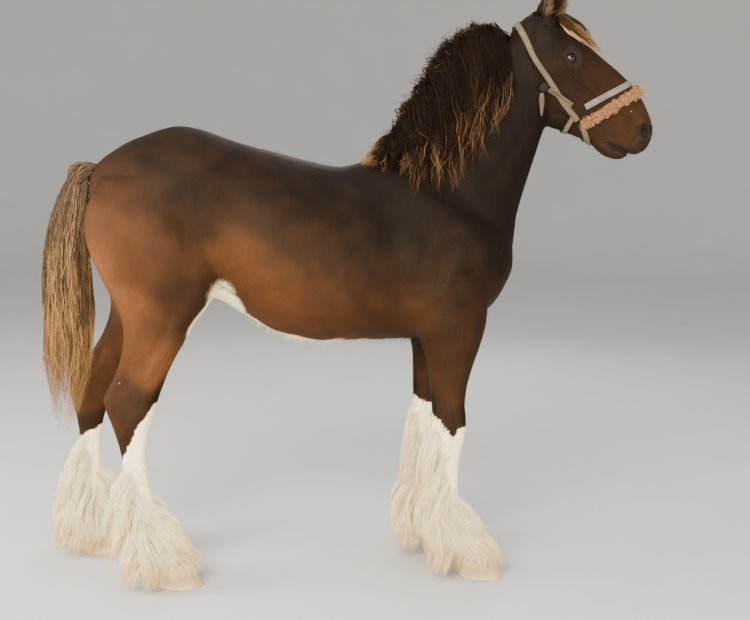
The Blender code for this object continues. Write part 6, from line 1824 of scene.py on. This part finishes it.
def make_stage(finish):
    """A pale round floor that curves up into a low wall far off on every side."""
    rows = [(radius, 0.0) for radius in (0.0, 4.0, 8.0, 12.0)]
    rows += [(12.0 + 5.0 * math.sin(t), 5.0 - 5.0 * math.cos(t)) for t in np.linspace(0.1, math.pi / 2, 16)]
    rows.append((17.0, 9.0))
    count = 96
    turns = 2 * math.pi * np.arange(count) / count
    points = [(radius * math.cos(t), radius * math.sin(t), z) for radius, z in rows[1:] for t in turns]
    faces = [tuple(range(count))]
    for i in range(len(rows) - 2):
        a, b = i * count, (i + 1) * count
        faces += [(a + j, b + j, b + (j + 1) % count, a + (j + 1) % count) for j in range(count)]
    mesh = bpy.data.meshes.new("studio_floor")
    mesh.from_pydata(points, [], faces)
    floor = new_object("studio_floor", mesh)
    mesh.materials.append(finish)
    mesh.shade_smooth()


def soft_light(name, place, aim, size, power, tint=(1, 1, 1)):
    data = bpy.data.lights.new(name, "AREA")
    data.shape = "RECTANGLE"
    data.size, data.size_y = size
    data.energy = power
    data.color = tint
    light = bpy.data.objects.new(name, data)
    bpy.context.scene.collection.objects.link(light)
    light.location = place
    light.rotation_euler = (Vector(aim) - Vector(place)).to_track_quat("-Z", "Y").to_euler()


def light_scene():
    world = bpy.data.worlds.new("studio_light")
    world.use_nodes = True
    background = world.node_tree.nodes["Background"]
    background.inputs["Color"].default_value = (0.92, 0.91, 0.89, 1)
    background.inputs["Strength"].default_value = 0.85
    bpy.context.scene.world = world
    soft_light("key_softbox", (-2.4, -4.4, 4.2), (-0.2, 0, 1.0), (3.0, 2.2), 640, (1.0, 0.95, 0.88))
    soft_light("front_softbox", (4.4, -3.4, 2.2), (0.3, 0, 1.0), (2.4, 2.4), 130, (1.0, 0.97, 0.93))
    soft_light("rear_softbox", (-4.8, -0.6, 2.0), (-0.8, 0, 0.9), (1.8, 2.2), 330, (1.0, 0.92, 0.8))
    soft_light("far_softbox", (1.2, 4.6, 3.4), (0.2, 0, 1.2), (3.0, 2.2), 110, (1.0, 0.95, 0.88))
    soft_light("top_softbox", (0.2, 0.0, 5.2), (0, 0, 1.2), (4.0, 3.0), 70)
    soft_light("low_softbox", (-0.8, -7.5, 1.1), (-0.1, 0, 0.2), (6.0, 1.2), 820, (1.0, 0.95, 0.86))


def make_camera():
    """The picture's own viewing angle."""
    pitch = math.atan((PICTURE[1] / 2 - HORIZON) / FOCAL_LENGTH)
    yaw, roll = math.radians(5.0), math.radians(1.15)
    ahead = np.array((math.sin(yaw) * math.cos(pitch), math.cos(yaw) * math.cos(pitch), -math.sin(pitch)))
    level_right = np.array((math.cos(yaw), -math.sin(yaw), 0.0))
    level_up = np.cross(level_right, ahead)
    right = level_right * math.cos(roll) + level_up * math.sin(roll)
    up = -level_right * math.sin(roll) + level_up * math.cos(roll)
    place = np.array(CAMERA_AIM) - CAMERA_DISTANCE * np.array((math.sin(yaw), math.cos(yaw), 0))
    data = bpy.data.cameras.new("camera")
    data.sensor_width = 36.0
    data.lens = data.sensor_width * FOCAL_LENGTH / PICTURE[0]
    camera = bpy.data.objects.new("camera", data)
    bpy.context.scene.collection.objects.link(camera)
    turn = Matrix((right, up, -ahead)).transposed().to_4x4()
    camera.matrix_world = Matrix.Translation(place) @ turn
    bpy.context.scene.camera = camera


def dress(obj, finish, slot_name, *nodes):
    obj.data.materials.clear()
    obj.data.materials.append(finish)
    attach(obj, "root")
    if nodes:
        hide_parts(*nodes)


def main():
    light_scene()
    make_camera()
    groups = {"coat": coat_colour_group(), "strand": strand_tone_group(), "grain": grain_group()}
    finishes = {"skin": skin_material(groups), "tufts": tuft_material(groups),
                "feather": feather_material(groups)}
    finishes.update({piece: strand_material(groups, *row) for piece, row in HAIR_FINISHES.items()})
    finishes.update(eye=eye_material(), hoof=hoof_material(groups))
    finishes.update({piece: web_material(groups, *row) for piece, row in WEB_FINISHES.items()})
    make_stage(floor_material())
    flesh = make_flesh()
    skin = make_skin(flesh)
    unwrap(skin)
    paint_marks(skin, "marks", coat_marks_and_painted_light(mesh_points(skin.data)))
    legs = [f"{part}_{pair}_{side}" for part in ("leg", "cannon") for pair in ("fore", "hind")
            for side in ("right", "left")]
    dress(skin, finishes["skin"], "coat", "head", "neck", "torso", "ear_left", "ear_right", *legs)
    ground = Ground(skin)
    dress(make_mane(ground), finishes["mane"], "coat", "neck")
    dress(make_crest_tufts(ground), finishes["crest"], "coat")
    dress(make_withers_tuft(ground), finishes["withers"], "coat")
    dress(make_forelock(ground), finishes["forelock"], "coat", "head")
    dress(make_forelock_edge_and_rim_light(ground), finishes["forelock_edge_and_rim_light"], "coat")
    outer_tail = make_tail(ground, "tail_locks", 43, TAIL_LOCKS, (0.92, 1.0), 20, 20)
    dress(outer_tail, finishes["tail"], "tail_hair", "tail")
    inner_tail = make_tail(ground, "tail_inner_locks", 39, INNER_TAIL_LOCKS, (0.25, 0.8), 18, 12)
    dress(inner_tail, finishes["tail"], "tail_hair")
    for side, label in ((-1, "right"), (1, "left")):
        dress(make_eyeball(side), finishes["eye"], "eye", "eye_" + label)
        for pair in ("fore", "hind"):
            dress(make_hoof(pair, side), finishes["hoof"], "hoof", f"hoof_{pair}_{label}")
            dress(make_feather(ground, pair, side), finishes["feather"], "stocking", f"cannon_{pair}_{label}")
    dress(make_coat_tufts(ground, "coat_tufts_right", 51, -1), finishes["tufts"], "coat")
    dress(make_coat_tufts(ground, "coat_tufts_left", 52, 1), finishes["tufts"], "coat")
    dress(make_lashes_and_whiskers(ground), finishes["whiskers"], "coat")
    dress(make_ear_hair(ground), finishes["ears"], "coat")
    make_halter(flesh, finishes)
    sleeve = bpy.data.objects["fleece_noseband"]
    points = mesh_points(sleeve.data)
    lumps = 0.0014 + 0.0024 * ripple(points, 0.016, 8)
    set_points(sleeve.data, points + lumps[:, None] * mesh_normals(sleeve.data))
    unwrap(sleeve)
    dress(make_fleece_curls(Ground(sleeve)), finishes["curls"], "fleece")
    bpy.data.objects.remove(flesh)


main()
